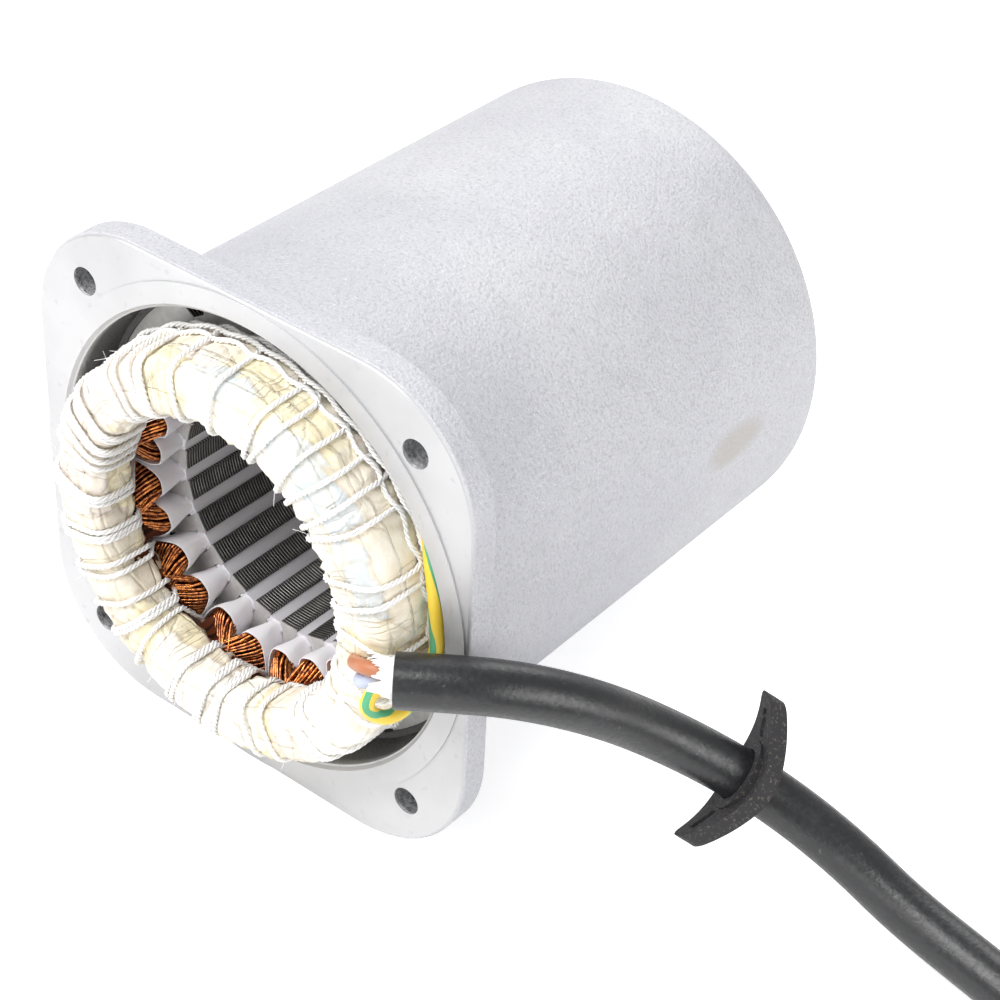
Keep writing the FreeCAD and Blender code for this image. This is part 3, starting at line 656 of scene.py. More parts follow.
def liner_mesh(plain, name, seed):
    """The sleeve's rings follow the slot through the stack and flare at both ends."""
    rng = random.Random(seed)
    wobble = rng.uniform(-1, 1)
    lean = rng.uniform(-0.35, 0.35) * MM
    piece = copy_of(plain, name)
    for v in piece.data.vertices:
        y, flare = SLEEVE_RINGS[round(v.co.z)]
        t = (math.atan2(v.co.y, v.co.x) / (2 * math.pi)) % 1.0
        radius, half = sleeve_outline(t, flare, wobble)
        fold = Vector((radius * 300, half * 500, seed * 7.3 + (y > LINER_MIDDLE)))
        crinkle = 0.22 * MM * flare * noise.noise(fold)
        sideways = lean * flare * math.cos(2 * math.pi * t)
        v.co = Vector((radius + crinkle, y + crinkle, half + sideways))
    outward_faces(piece)
    modify(piece, "SOLIDIFY", thickness=PAPER_THICKNESS, offset=0.0)
    smooth(piece, 50)
    return piece


print("rings of a sleeve:", len(SLEEVE_RINGS))

# %% One liner for each slot
plain_sleeve = plain_tube(CUFF_POINTS, len(SLEEVE_RINGS))
for k in range(SLOTS):
    liner = liner_mesh(plain_sleeve, "slot_liner_paper_%02d" % (k + 1), k + 1)
    liner.data.transform(about_axis((k + 0.5) * PITCH))
    dress(liner, "liner_paper", paper, "slot_liner_%02d" % (k + 1))
bpy.data.objects.remove(plain_sleeve)
print("liners dressed:", SLOTS, "faces each:", len(liner.data.polygons))

# %% [markdown]
# ## Copper wire
# The solids of the windings stay behind, with the tone of packed wire. Over them lie separate
# wires, which fill each funnel, come out of its mouth and turn sideways into the head. A wire keeps
# its share of the funnel's outline all the way, so no wire comes through the paper.

# %% Wire finish
copper = Finish("enamelled_wire", roughness=0.16, metallic=0.9)
# Painted highlights: bright orange glints laid into the wire's colour.
painted_glints = copper.span(copper.noise(1300, 2), 0.35, 0.65)
wire_tone_and_glints = copper.blend(painted_glints, (0.12, 0.022, 0.008), (0.98, 0.36, 0.08))
dark_share = copper.span(copper.noise(130, 2), 0.4, 0.65, 0.0, 0.6)
copper.colour(copper.blend(dark_share, wire_tone_and_glints, (0.16, 0.03, 0.012)))
copper.feed("Coat Weight", 0.5)
copper.feed("Coat Roughness", 0.15)
packed = Finish("packed_wire", roughness=0.35, metallic=0.7)
strands = packed.noise(1500, 1, packed.stretch(packed.place, (1, 0.15, 1)))
packed.colour(packed.blend(packed.span(strands, 0.4, 0.6), (0.03, 0.012, 0.008), (0.20, 0.06, 0.025)))
packed.relief(strands, 0.6, 0.3 * MM)
paint(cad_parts["start_winding"], packed)
paint(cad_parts["main_winding"], packed)
print("wire nodes:", len(copper.nodes), "packed wire nodes:", len(packed.nodes))

# %% Wires of one bundle
WIRE = 0.55 * MM
ROUND_WIRE = 1
BEND_DEPTHS = (4.6, 11.5)
RIM_SHARE, GATHER, OUTWARD = 0.92, 0.35, 1.8
SIDE_SHARE, SIDE_TURN, SIDE_SPREAD = 0.88, 11, 2.5
WIRE_DEPTHS = [0.5, 3.4, 5.2, 6.4, 7.4, 8.6, 10.0, 12.0]
# Each ring of wires: its share of the outline and how many wires lie on it.
FRONT_RINGS = [(1.0, 30), (0.78, 20), (0.5, 10), (0.2, 3)]
REAR_RINGS = [(1.0, 24)]


def wire_point(ring, a, depth, sway):
    """Where a wire runs at a depth in mm in front of the stack; ring and a are its place."""
    flare = ease(depth, 0.0, CUFF_DEPTH)
    radius, half = (value / MM for value in sleeve_outline(a / (2 * math.pi), flare))
    centre = SLOT_MIDDLE + (MOUTH_MIDDLE_RADIUS - SLOT_MIDDLE) * flare
    past = ease(depth, *BEND_DEPTHS)
    radius = centre + (radius - centre) * ring * (RIM_SHARE - GATHER * past) + OUTWARD * past
    swing = sway * past * (SIDE_TURN + SIDE_SPREAD * math.cos(a))
    angle = math.degrees(half * ring * SIDE_SHARE / radius) + swing
    return on_ring(radius * MM, angle, CORE_FRONT - depth * MM)


def bundle_lines(seed, rings):
    """Wires round the rim of the bundle and a few rows inside it."""
    rng = random.Random(seed)
    sway = 1 if seed % 2 else -1
    lines = []
    for ring, count in rings:
        for k in range(count):
            a = 2 * math.pi * (k + rng.uniform(-0.1, 0.1)) / count
            swing = sway * (1.0 + 0.25 * math.sin(a + seed) + rng.uniform(-0.08, 0.08))
            lines.append([wire_point(ring, a + 0.03 * d * sway, d, swing) for d in WIRE_DEPTHS])
    return lines


def wire_ring(name, rings):
    """The wires of all slots, as one piece."""
    pieces = []
    for k in range(SLOTS):
        turn_to = about_axis((k + 0.5) * PITCH)
        lines = [[turn_to @ p for p in line] for line in bundle_lines(k + 1, rings)]
        pieces.append(threads("wires", lines, WIRE / 2, ROUND_WIRE))
    return join_all(pieces, name)


def mirrored(piece, name):
    """The same piece at the other end of the stack."""
    twin = copy_of(piece, name)
    twin.data.transform(Matrix.Translation((0, 2 * LINER_MIDDLE, 0)) @ Matrix.Diagonal((1, -1, 1, 1)))
    twin.data.flip_normals()
    return twin


print("wires in a front bundle:", sum(count for _, count in FRONT_RINGS))

# %% Wires at both ends
front_wires = wire_ring("head_wires_front", FRONT_RINGS)
dress(front_wires, "enamelled_copper", copper)
rear_half = wire_ring("rear_half", REAR_RINGS)
rear_wires = mirrored(rear_half, "head_wires_rear")
bpy.data.objects.remove(rear_half)
dress(rear_wires, "enamelled_copper", copper)
print("wire faces at the front:", len(front_wires.data.polygons))

# %% [markdown]
# ## The taped coil head
# The end turns are wrapped in strips of crepe tape and pulled tight with cord. The head could be
# sculpted, but a script can't feel its way. So a torus gets the head's squarish section, and its
# points are then lifted: each strip is a rectangle laid over the ring, with a step at its edge, a
# line of painted shade along that edge and a tint of its own, and creases are short sharp ridges
# with painted shade along them. Arrays make this quick, and the cords use the same section.

# %% Shape of the head
HEAD_RADIUS = 34.0
HEAD_HALF_WIDTH = 5.7
HEAD_MIDDLE_Y = -3.0
HEAD_HALF_DEPTH = 6.5
SQUARENESS = 3.8
BACK_FULLNESS = 4.0
INNER_BEVEL = 7.8
SWELL = 1.4
SWELL_ANGLE = 16
SWELL_SPREAD = 42
# Each hitch of the lacing: its angle at the bore and its angle at the rim.
HITCHES = [
    (7, 2), (14, 17), (25, 21), (39, 36), (42.5, 43), (52, 50), (57, 58), (71, 66), (73, 72), (88, 87),
    (101, 102), (115, 113.5), (117.5, 119), (126, 124.5), (130, 128.5), (149, 143.5), (157, 152),
    (163, 157), (167, 163), (181, 175), (184, 178.5), (195, 192), (197.5, 194.5), (208, 206),
    (212, 208.5), (223, 218), (230, 227), (235, 240), (253, 251), (265, 262), (272, 268), (283, 286),
    (292.5, 294), (308, 312), (314, 322), (338.5, 338), (348, 347.5),
]


def section_point(psi, lift=0.0):
    """Radius and depth in mm round the head's section: 0 outside, 90 in front, 180 at the bore."""
    c, s = math.cos(math.radians(psi)), math.sin(math.radians(psi))
    size = (abs(c) ** SQUARENESS + abs(s) ** SQUARENESS) ** (-1 / SQUARENESS)
    dr, dy = (HEAD_HALF_WIDTH + lift) * size * c, -(HEAD_HALF_DEPTH + lift) * size * s
    dy += BACK_FULLNESS * max(0.0, c) * max(0.0, -s)
    over = (dy - dr) - (INNER_BEVEL + lift * 1.4)
    if over > 0 and dr < 0:
        dr, dy = dr + over / 2, dy - over / 2
    return HEAD_RADIUS + dr, HEAD_MIDDLE_Y + dy


def head_point(angle, psi, lift=0.0):
    """A point on the head, which swells a little beside the lead."""
    radius, y = section_point(psi, lift)
    off = (angle - SWELL_ANGLE + 180) % 360 - 180
    outside = (1 + math.cos(math.radians(psi))) / 2
    radius += SWELL * math.exp(-((off / SWELL_SPREAD) ** 2)) * outside
    return on_ring(radius * MM, angle, y * MM)


def hitch_angle(hitch, psi):
    """A hitch slants over the front and passes behind in the nearest gap between two bundles."""
    inner, outer = hitch
    slant = outer + (inner - outer) * (1 - math.cos(math.radians(psi))) / 2
    gap = round((inner + outer) / 2 / PITCH) * PITCH
    behind = max(0.0, -math.sin(math.radians(psi)))
    return slant + (gap - slant) * ease(behind, 0.3, 0.95)


print("hitches:", len(HITCHES))

# %% Strips of the tape
TAPE_AROUND = 800
TAPE_SECTION = 108
HIDDEN_SHARE = 0.35
TAPE_SINK = 0.35
TAPE_SEED = 11
STRIPS = 190
CREASES = 330
SECTION_LENGTH = 41.0
RING_LENGTH = 2 * math.pi * HEAD_RADIUS
CREAM, WHITE, YELLOW = (0.90, 0.83, 0.69), (0.95, 0.94, 0.90), (0.93, 0.84, 0.56)
PALE_BLUE, PINKISH, TAN = (0.60, 0.68, 0.75), (0.88, 0.80, 0.74), (0.86, 0.77, 0.62)
TAPE_TINTS = [CREAM, CREAM, WHITE, WHITE, YELLOW, PINKISH, TAN, CREAM]
# Strips that are seen one by one: place round the ring and the section, half length, half width,
# turn and tint.
SEEN_STRIPS = [
    (80, 95, 13, 8, 4, WHITE),
    (60, 110, 14, 6, 2, WHITE), (109, 62, 6, 8, 70, YELLOW), (148, 125, 6, 4, 60, YELLOW),
    (240, 140, 8, 6, 30, YELLOW), (130, 55, 9, 8, 80, PINKISH), (157, 60, 10, 9, 85, PINKISH),
    (176, 75, 9, 9, 95, PINKISH), (203, 90, 9, 9, 80, CREAM), (265, 110, 14, 8, 10, WHITE),
    (70, 22, 12, 5, 0, YELLOW), (30, 30, 14, 6, 3, CREAM), (320, 100, 14, 8, 80, WHITE),
    (91, 46, 5, 3.2, 25, PALE_BLUE), (83, 40, 3.5, 2.2, 60, PALE_BLUE), (60, 50, 5, 3, 10, PALE_BLUE),
    (46, 56, 5.5, 3.4, 5, PALE_BLUE), (31, 64, 3, 2.6, 60, PALE_BLUE), (21, 62, 5, 2.8, 5, PALE_BLUE),
]


def around(value, length):
    """Differences on a closed line, from minus half its length to plus half."""
    return (value + length / 2) % length - length / 2


def turned(u, v, angle):
    """Two distances, seen along and across a direction."""
    c, s = math.cos(angle), math.sin(angle)
    return u * c + v * s, v * c - u * s


def strips_of_tape(rng):
    """All strips in the order of laying: place, half length, half width, turn and tint."""
    strips = []
    for _ in range(STRIPS):
        crosswise = rng.random() < 0.6
        turn = rng.uniform(65, 115) if crosswise else rng.uniform(-12, 12)
        tint = rng.choice(TAPE_TINTS)
        place = (rng.uniform(0, 360), rng.uniform(0, 360))
        strips.append((*place, rng.uniform(6, 14), rng.uniform(3.0, 5.0), turn, tint))
    return strips + SEEN_STRIPS


def lay_strips(rng, arc, sec):
    """Lift in mm and tint where strips overlap, each with a step and painted shade at its rim."""
    lift = np.zeros_like(arc)
    tint = np.tile(np.array(CREAM), (len(arc), 1))
    for at, section, half_length, half_width, turn, colour in strips_of_tape(rng):
        u = around(arc - math.radians(at) * HEAD_RADIUS, RING_LENGTH)
        v = around(sec - section / 360 * SECTION_LENGTH, SECTION_LENGTH)
        along, across = turned(u, v, math.radians(turn))
        ripple = 0.35 * np.sin(along * rng.uniform(0.5, 1.2) + rng.uniform(0, 6))
        inside = np.minimum(half_length - np.abs(along), half_width - np.abs(across + ripple))
        cover = np.clip(inside / 0.25, 0, 1)
        curl = np.exp(-((inside - 0.45) / 0.45) ** 2) * rng.uniform(0.3, 1.6)
        lift = lift * (1 - 0.5 * cover) + (0.22 + 0.22 * curl) * cover
        shade = np.array(colour) * rng.uniform(0.92, 1.04)
        tint = tint * (1 - 0.85 * cover[:, None]) + shade * 0.85 * cover[:, None]
        # Painted shade: a dark line along each strip's rim, where its step would cast shade.
        rim = np.exp(-((inside + 0.15) / 0.22) ** 2) * rng.uniform(0.05, 0.38)
        tint = tint * (1 - rim[:, None] * np.array((0.7, 0.8, 1.0)))
    return lift, tint


def press_creases(rng, arc, sec, lift, tint):
    """Adds short sharp ridges and furrows, with painted shade along them, deeper in the furrows."""
    for _ in range(CREASES):
        u = around(arc - rng.uniform(0, RING_LENGTH), RING_LENGTH)
        v = around(sec - rng.uniform(0, SECTION_LENGTH), SECTION_LENGTH)
        along, across = turned(u, v, math.radians(rng.choice([0, 90, 90]) + rng.uniform(-28, 28)))
        across = across + 0.02 * along ** 2 * rng.uniform(-1, 1)
        lengthwise = np.exp(-(along / rng.uniform(1.8, 5.0)) ** 2)
        ridge = lengthwise * np.exp(-np.abs(across) / rng.uniform(0.35, 0.7))
        height = rng.choice([0.62, 0.42, -0.45, -0.6])
        lift = lift + height * ridge
        # Painted shade along each crease, deeper in a furrow than on a ridge.
        fold = np.clip(ridge - 0.35, 0, 1) * (0.35 if height < 0 else 0.12)
        tint = tint * (1 - fold[:, None] * np.array((0.6, 0.75, 1.0)))
    return lift, np.clip(tint, 0, 1)


def hitch_pull(angle, psi):
    """How deep the cords press into the tape, in mm."""
    front = (1 - np.cos(np.radians(psi))) / 2
    near = np.full_like(angle, 180.0)
    for inner, outer in HITCHES:
        near = np.minimum(near, np.abs(around(angle - (outer + (inner - outer) * front), 360.0)))
    return 0.55 * np.exp(-(near * 0.6) ** 2)


print("strips:", STRIPS + len(SEEN_STRIPS), "creases:", CREASES)

# %% Tape mesh
bpy.ops.object.select_all(action="DESELECT")
bpy.ops.mesh.primitive_torus_add(major_segments=TAPE_AROUND, minor_segments=TAPE_SECTION,
                                 major_radius=1.0, minor_radius=0.3)
tape = bpy.context.object
tape.name = "crepe_tape_front"
flat = np.empty(len(tape.data.vertices) * 3)
tape.data.vertices.foreach_get("co", flat)
flat = flat.reshape(-1, 3)
angles = np.degrees(np.arctan2(flat[:, 1], flat[:, 0])) % 360
psis = np.degrees(np.arctan2(flat[:, 2], np.hypot(flat[:, 0], flat[:, 1]) - 1.0)) % 360
along_ring = np.radians(angles) * HEAD_RADIUS
along_section = psis / 360 * SECTION_LENGTH
tape_rng = random.Random(TAPE_SEED)
lifts, tints = lay_strips(tape_rng, along_ring, along_section)
lifts, tints = press_creases(tape_rng, along_ring, along_section, lifts, tints)
lifts -= hitch_pull(angles, psis)
runs = tape.data.attributes.new("run", "FLOAT_VECTOR", "POINT")
runs.data.foreach_set("vector", np.column_stack((along_ring, along_section, angles * 0)).ravel())
tints_and_shades = tape.data.color_attributes.new("tint_and_shade", "FLOAT_COLOR", "POINT")
for v, tint_and_shade, angle, psi, lift, tint in zip(tape.data.vertices, tints_and_shades.data, angles, psis, lifts, tints):
    p = on_ring(3.4, angle, psi * 0.01)
    crumple = 0.22 * noise.noise(p * 2.3) + 0.10 * noise.noise(Vector((angle * 0.9, psi * 0.12, 3.0)))
    v.co = head_point(angle, psi, float(lift) + crumple - TAPE_SINK)
    tint_and_shade.color = (*tint, 1.0)
outward_faces(tape)
bpy.ops.object.shade_smooth()
print("tape faces:", len(tape.data.polygons))

# %% [markdown]
# ## Look of the tape
# Crepe tape is thin and cream, and the layers below show through it. The mesh keeps for each point
# its tint, with painted shade at strip rims and creases, and how far it lies along the ring and the
# section, so that patches, pleats and seams follow the head. Two sizes of irregular cells stand for
# the laid edges, with painted shade along them, and fine noise roughens them. The pleats' furrows
# get painted shade too. An image of tape would be quicker, but would stretch and show its seams.

# %% Tape finish
STAIN_LIGHT, STAIN_YELLOW, PATCH_TONE = (0.95, 0.93, 0.88), (0.88, 0.78, 0.52), (0.84, 0.74, 0.55)
# Painted shade: the dark tones of the seam lines and of the pleats' furrows.
SEAM_SHADE, FURROW_SHADE = (0.50, 0.38, 0.22), (0.60, 0.49, 0.33)
PATCH_SIZES = ((0.038, 0.15), (0.13, 0.055))
crepe = Finish("crepe_tape", roughness=0.40)
tint_and_shade = crepe.attribute("tint_and_shade")["Color"]
run = crepe.attribute("run")["Vector"]
drifted = crepe.shift(run, crepe.stretch(crepe.noise(230, 3), (1.6, 1.2, 0)))
tone = crepe.blend(crepe.span(crepe.noise(240, 4), 0.45, 0.72, 0.0, 0.45), tint_and_shade, STAIN_LIGHT)
tone = crepe.blend(crepe.span(crepe.noise(110, 4), 0.55, 0.72, 0.0, 0.35), tone, STAIN_YELLOW)
crepe.relief(crepe.noise(1700, 3), 0.25, 0.12 * MM)
for number, (lengthwise, crosswise) in enumerate(PATCH_SIZES):
    apart = (number * 5.3, number * 2.1, 0)
    laid = crepe.shift(crepe.stretch(drifted, (lengthwise, crosswise, 1)), apart)
    edge = crepe.cells(laid, "DISTANCE_TO_EDGE")
    patch = crepe.split(crepe.cells(laid))[0]
    tone = crepe.blend(crepe.times(patch, 0.14), tone, PATCH_TONE)
    # Painted shade: a dark line along the edge of each laid patch.
    line = crepe.span(edge, 0.002, 0.020, 0.40, 0.0)
    tone = crepe.blend(crepe.times(line, patch), tone, SEAM_SHADE)
    crepe.relief(crepe.span(edge, 0.0, 0.04), 0.7, 0.28 * MM)
pleat_place = crepe.stretch(drifted, (0.50, 0.055, 1))
pleat = crepe.math("ABSOLUTE", crepe.minus(crepe.noise(1.0, 1.5, pleat_place), 0.5))
pleated = crepe.span(crepe.noise(60, 2), 0.50, 0.66)
furrow = crepe.times(crepe.span(pleat, 0.0, 0.045, 1.0, 0.0, smooth=True), pleated)
# Painted shade in the pleats' furrows.
crepe.colour(crepe.blend(crepe.times(furrow, 0.22), tone, FURROW_SHADE))
crepe.roughness(crepe.span(crepe.noise(150, 2), 0.35, 0.65, 0.30, 0.50))
crepe.relief(crepe.minus(1.0, furrow), 0.8, 0.32 * MM)
crepe.relief(crepe.noise(380, 5, roughness=0.65), 0.6, 0.45 * MM)
dress(tape, "crepe_tape", crepe, "head_tape_front")
rear_tape = mirrored(tape, "crepe_tape_rear")
modify(rear_tape, "DECIMATE", ratio=HIDDEN_SHARE)
dress(rear_tape, "crepe_tape", crepe, "head_tape_rear")
print("rear tape faces:", len(rear_tape.data.polygons))

# %% [markdown]
# ## Lacing cord
# The cord is three strands laid round each other. Each hitch is a closed loop round the head, and
# a chain of cords runs round its rim. A twisted texture on a plain tube would look flat at the
# outline, so the strands are real: a small triangle is turned along each loop, and its corners
# draw three threads.

# %% Strands of the cord
STRAND = 0.50 * MM
LAY_LENGTH = 3.4 * MM
CORD_SPREAD = 0.31 * MM
TURN_REFERENCE = Vector((0.31, 0.87, 0.38))
LOOP_POINTS = 66
LOOP_LIFT = 0.36
RUNNER_POINTS = 440


def strand_lines(centre, start):
    """The three strands that wind round a closed line of points given in metres."""
    count = len(centre)
    lengths = distances_along(centre)
    total = lengths[-1] + (centre[0] - centre[-1]).length
    turns = max(1, round(total / LAY_LENGTH))
    lines = []
    for strand in range(3):
        line = []
        for k in range(count):
            along = (centre[(k + 1) % count] - centre[k - 1]).normalized()
            side = along.cross(TURN_REFERENCE).normalized()
            up = side.cross(along)
            a = 2 * math.pi * (turns * lengths[k] / total + strand / 3 + start)
            line.append(centre[k] + (side * math.cos(a) + up * math.sin(a)) * CORD_SPREAD)
        lines.append(line + [line[0]])
    return lines


def hitch_loop(hitch, seed):
    """The centre line of one hitch, which strays a little from its straight way."""
    rng = random.Random(seed)
    phase = rng.uniform(0, 2 * math.pi)
    loop = []
    for k in range(LOOP_POINTS):
        psi = 360.0 * k / LOOP_POINTS
        stray = 0.3 * math.sin(math.radians(psi) * 2 + phase)
        loop.append(head_point(hitch_angle(hitch, psi) + stray, psi, LOOP_LIFT))
    return loop


print("cord thickness:", round(2 * CORD_SPREAD + STRAND, 5))

# %% Hitches and the chain
DOUBLED = [(117, 114.5), (181.8, 176), (198.5, 196), (150.5, 145), (158.5, 153.5), (231.5, 228.5),
           (254.5, 252.5), (266.5, 263.5), (273.5, 269.5), (309.5, 313.5)]
# Each cord of the chain: its place round the section and its lift in mm.
CHAIN = [(-22, 0.45), (-30, 1.1), (-37, 0.5), (-45, 1.0), (-52, 0.5)]
CHAIN_WAVES = 30
lacing_lines = []
for k, hitch in enumerate(HITCHES + DOUBLED):
    lacing_lines += strand_lines(hitch_loop(hitch, k), 0.17 * k)
for number, (place, lift) in enumerate(CHAIN):
    runner = []
    for k in range(RUNNER_POINTS):
        angle = 360.0 * k / RUNNER_POINTS
        phase = math.radians(angle) * CHAIN_WAVES
        sideways = 2.6 * math.sin(phase + number * 1.7)
        runner.append(head_point(angle, place + sideways, lift + 0.25 * math.cos(phase + number)))
    lacing_lines += strand_lines(runner, number * 0.3)
lacing = threads("lacing_cord_front", lacing_lines, STRAND / 2, ROUND_WIRE)
print("strands laid:", len(lacing_lines))

# %% Cord finish
cord = mottled("white_cord", ((0.86, 0.85, 0.83), (0.97, 0.96, 0.95)), 500, 3, 0.55)
cord.relief(cord.noise(2600, 2), 0.4, 0.08 * MM)
cord.feed("Sheen Weight", 0.2)
dress(lacing, "lacing_cord", cord, "lacing_front")
rear_lacing = mirrored(lacing, "lacing_cord_rear")
modify(rear_lacing, "DECIMATE", ratio=HIDDEN_SHARE)
dress(rear_lacing, "lacing_cord", cord, "lacing_rear")
print("lacing faces:", len(lacing.data.polygons))

# %% [markdown]
# ## Leads, terminals and washer
# The small parts are plain turned, cut or moulded pieces. Their solids show all of their form, so
# they keep them and only get a finish each: coloured plastic, tinned copper, zinc plate, paper and
# a rubber washer with dust and lint caught in its pores.

# %% Finishes of the small parts
SMALL_PARTS = [
    # finish, two tones, clouds to a metre, detail, roughness, metallic; then its CAD nodes
    (("brown_insulation", ((0.42, 0.14, 0.06), (0.52, 0.21, 0.10)), 400, 2, 0.4, 0.0),
     ("live_lead", "end_core_brown")),
    (("blue_insulation", ((0.42, 0.48, 0.66), (0.52, 0.57, 0.72)), 400, 2, 0.4, 0.0),
     ("neutral_lead", "end_core_blue")),
    (("earth_insulation", ((0.86, 0.62, 0.06), (0.92, 0.70, 0.10)), 300, 2, 0.38, 0.0),
     ("end_core_earth",)),
    (("tinned_copper", ((0.50, 0.50, 0.50), (0.70, 0.70, 0.69)), 700, 3, 0.35, 0.9),
     ("earth_lug", "ferrule_brown", "ferrule_blue", "ferrule_earth")),
    (("zinc_plate", ((0.48, 0.48, 0.50), (0.66, 0.66, 0.66)), 500, 3, 0.3, 0.9), ("earth_screw",)),
    (("phase_paper", ((0.55, 0.50, 0.40), (0.62, 0.58, 0.46)), 300, 2, 0.6, 0.0),
     ("phase_paper_front", "phase_paper_rear")),
]
for settings, nodes in SMALL_PARTS:
    finish = mottled(*settings)
    for node in nodes:
        paint(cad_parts[node], finish)
washer = Finish("washer_rubber", roughness=0.66)
fuzz = washer.span(washer.noise(1500, 5, roughness=0.7), 0.55, 0.66)
washer.colour(washer.blend(washer.times(fuzz, 0.5), (0.018, 0.018, 0.020), (0.24, 0.20, 0.16)))
washer.relief(washer.noise(900, 4), 0.7, 0.22 * MM)
paint(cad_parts["clamp_washer"], washer)
print("small parts painted:", 1 + sum(len(nodes) for _, nodes in SMALL_PARTS))

# %% [markdown]
# ## Earth core and torn paper
# The earth core wears two green bands that wind slowly round its yellow skin. A tube follows the
# same corners as the solid, and each of its points keeps how far round the core it lies. Where the
# sheath is cut, a scrap of the paper wrap stands out, longer on top and torn at its edge.

# %% Earth core with its green bands
CORE_DIAMETER = 2.6 * MM
CORE_ROUND = 5
EARTH_CORNERS = [
    (46.2, -13.8, 1.9), (43.8, -15.5, 1.9), (43.1, -17.2, -0.9), (43.4, -16.1, -3.6), (44.4, -13.3, -5.7),
    (44.8, -9.4, -6.5), (44.4, -5.4, -5.9), (43.5, -2.0, -3.4), (43.5, 0.6, 0.2), (42.3, 0.9, 10.5),
    (39.9, 2.2, 17.4), (37.1, 4.8, 22.8), (31.8, 7.9, 26.2),
]
BAND_FACES = Vector((0.49, -0.64, 0.60))
BAND_TURN = math.radians(9.0)
BAND_START = math.radians(-55.0)


def rounded_path(corners, share=0.45, steps=7):
    """Points of a line whose corners are rounded as far as their two runs allow."""
    points = [corners[0]]
    for before, corner, after in zip(corners, corners[1:], corners[2:]):
        reach = share * min((before - corner).length, (after - corner).length)
        start = corner + (before - corner).normalized() * reach
        finish = corner + (after - corner).normalized() * reach
        for k in range(steps + 1):
            t = k / steps
            points.append(start * (1 - t) ** 2 + corner * 2 * t * (1 - t) + finish * t * t)
    return points + [corners[-1]]


def mark_bands(piece, centre):
    """Keeps for each point how squarely it lies on one of two bands that wind along the core."""
    bands = piece.data.color_attributes.new("band", "FLOAT_COLOR", "POINT")
    gone = distances_along(centre)
    last = len(centre) - 1
    for v, band in zip(piece.data.vertices, bands.data):
        k = min(range(last + 1), key=lambda i: (centre[i] - v.co).length_squared)
        along = (centre[min(k + 1, last)] - centre[max(k - 1, 0)]).normalized()
        side = along.cross(BAND_FACES).normalized()
        out = v.co - centre[k]
        angle = math.atan2(out.dot(side), out.dot(side.cross(along)))
        share = 0.5 + 0.5 * math.cos(2 * (angle + BAND_START + BAND_TURN * gone[k] / MM))
        band.color = (share, share, share, 1.0)


earth_line = rounded_path([Vector(corner) * MM for corner in EARTH_CORNERS])
earth_core = threads("earth_core", [earth_line], CORE_DIAMETER / 2, CORE_ROUND)
mark_bands(earth_core, earth_line)
banded = Finish("banded_insulation", roughness=0.36)
yellow_skin = banded.blend(banded.noise(300, 2), (0.86, 0.60, 0.05), (0.92, 0.68, 0.08))
green_skin = banded.blend(banded.noise(300, 2), (0.07, 0.36, 0.17), (0.11, 0.44, 0.24))
green_share = banded.span(banded.attribute("band")["Fac"], 0.70, 0.76)
banded.colour(banded.blend(green_share, yellow_skin, green_skin))
dress(earth_core, "earth_insulation", banded, "earth_lead")
print("earth core faces:", len(earth_core.data.polygons))

# %% Torn paper at the sheath's end
WRAP_RADIUS = 3.75
WRAP_AROUND = 90
WRAP_RINGS = 7
WRAP_INSIDE = 0.5
WRAP_THICKNESS = 0.18 * MM
sheath_end = Vector(CABLE_POINTS[0])
outward = (sheath_end - Vector(CABLE_POINTS[1])).normalized()
level = outward.cross(Vector((0, 0, 1))).normalized()
upright = level.cross(outward).normalized()
torn_paper = plain_tube(WRAP_AROUND, WRAP_RINGS)
torn_paper.name = "torn_paper_wrap"
for v in torn_paper.data.vertices:
    ring = round(v.co.z) / (WRAP_RINGS - 1)
    a = math.atan2(v.co.y, v.co.x)
    across = level * math.cos(a) + upright * math.sin(a)
    upper = ease(across.z, -0.25, 0.2)
    ragged = noise.noise(across * 2.6) + 0.7 * noise.noise(across * 8.5) + 0.4 * noise.noise(across * 21)
    reach = 0.4 + upper * max(0.2, 2.3 + 2.3 * ragged)
    lift = 0.35 * ring * noise.noise(across * 5 + Vector((ring, 0, 4)))
    along = outward * ((reach + WRAP_INSIDE) * ring - WRAP_INSIDE) * MM
    v.co = sheath_end + along + across * (WRAP_RADIUS + lift) * MM
outward_faces(torn_paper)
modify(torn_paper, "SOLIDIFY", thickness=WRAP_THICKNESS, offset=0.0)
smooth(torn_paper, 50)
scrap = mottled("torn_paper", ((0.88, 0.88, 0.87), (0.97, 0.97, 0.97)), 600, 3, 0.7)
scrap.relief(scrap.noise(900, 4), 0.5, 0.2 * MM)
dress(torn_paper, "liner_paper", scrap, "cable_wrap")
print("torn paper faces:", len(torn_paper.data.polygons))

# %% [markdown]
# ## Stray fibres
# Cotton cord sheds fine hairs, most of them where it bends over the head. A hair system isn't
# exported, so each hair is a short bent thread, rooted on the head.

# %% Stray fibres of the cord
HAIRS = 46
HAIR_RADIUS = 0.045 * MM
HAIR_STEPS = (0, 0.4, 0.8, 1.2, 1.6)
rng = random.Random(5)


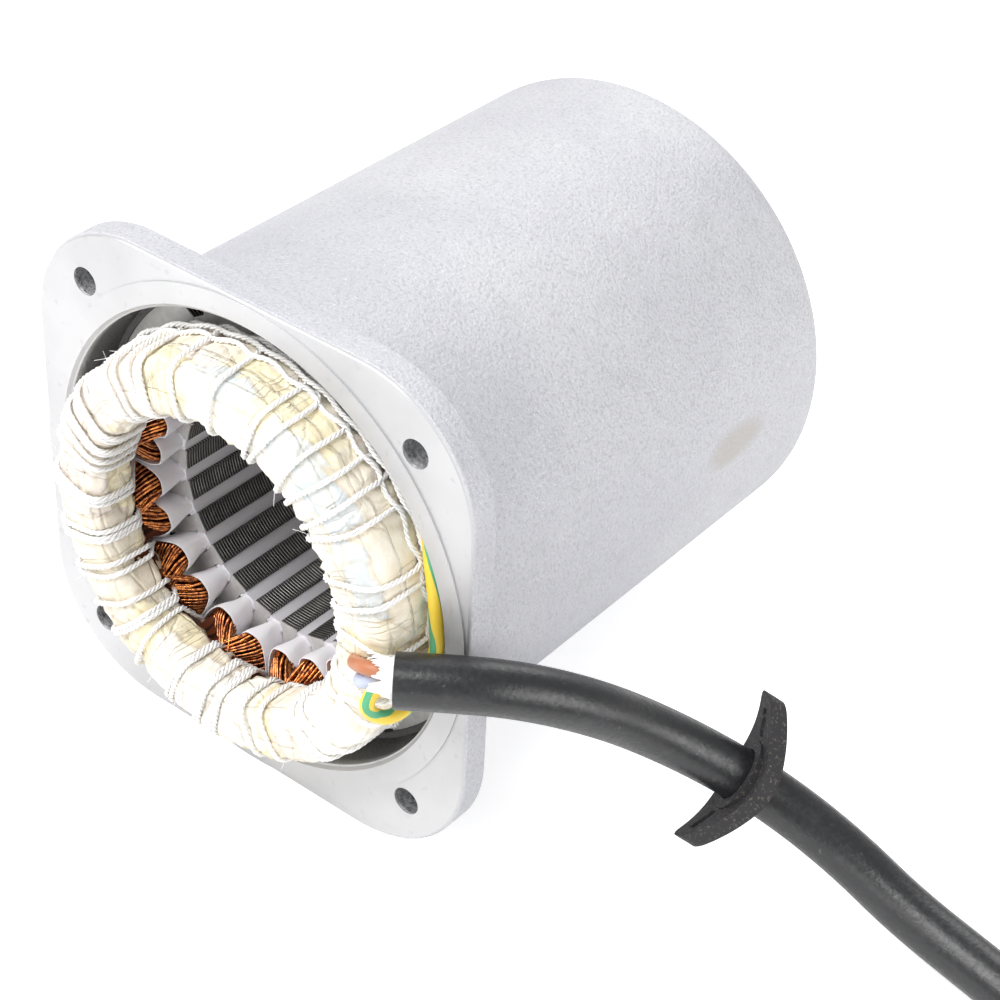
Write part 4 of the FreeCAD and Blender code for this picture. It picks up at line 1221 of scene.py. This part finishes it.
def random_lean(low, high):
    """A random direction, seldom towards the stack, of a random length in mm."""
    lean = Vector((rng.uniform(-1, 1), rng.uniform(-1, 0.2), rng.uniform(-1, 1)))
    return lean * rng.uniform(low, high) * MM


hairs = []
for k in range(HAIRS):
    angle = rng.uniform(0, 360) if k % 3 else rng.choice(HITCHES)[0] + rng.uniform(-2, 2)
    root = head_point(angle, rng.uniform(0, 150), 0.5)
    bend = random_lean(0.4, 1.2)
    curl = random_lean(0.3, 1.0)
    hairs.append([root + bend * t + curl * t * t for t in HAIR_STEPS])
stray_fibres = threads("stray_fibres", hairs, HAIR_RADIUS, 0)
dress(stray_fibres, "lacing_cord", cord)
print("hairs:", len(hairs))

# %% [markdown]
# ## The lead
# The lead leaves the coil head, and its far end lies in a coil on the floor.

# %% [markdown]
# ## The floor
# The floor is one large pale plane just below the pot. Shining a lamp at it until it turns white
# would burn out the object too, so it glows a little, but only where the camera or a reflection
# sees it. The glow adds no soft light to the object, and the floor keeps its shadow.

# %% Floor
FLOOR_SIDE = 6
FLOOR_GAP = 0.02 * MM
FLOOR_GLOW = 0.60
REFLECTED_SHARE = 0.6
bpy.ops.object.select_all(action="DESELECT")
bpy.ops.mesh.primitive_plane_add(size=FLOOR_SIDE, location=(0, 0, FLOOR_HEIGHT - FLOOR_GAP))
floor = bpy.context.object
floor.name = "floor"
ground = Finish("pale_floor", roughness=0.8)
ground.colour((0.86, 0.86, 0.86))
path = ground.node("LightPath", {})
reflected = ground.times(path["Is Glossy Ray"], REFLECTED_SHARE)
seen = ground.math("MAXIMUM", path["Is Camera Ray"], reflected)
glow = ground.node("Emission", {"Color": (1, 1, 1), "Strength": ground.times(seen, FLOOR_GLOW)})[0]
both = ground.node("AddShader", {0: ground.shader.outputs[0], 1: glow})[0]
ground.join(both, ground.nodes["Material Output"].inputs["Surface"])
paint(floor, ground)
print("floor at:", round(FLOOR_HEIGHT, 5))

# %% [markdown]
# ## Last step
# The script ends with nothing selected.

# %% Last step
bpy.ops.object.select_all(action="DESELECT")
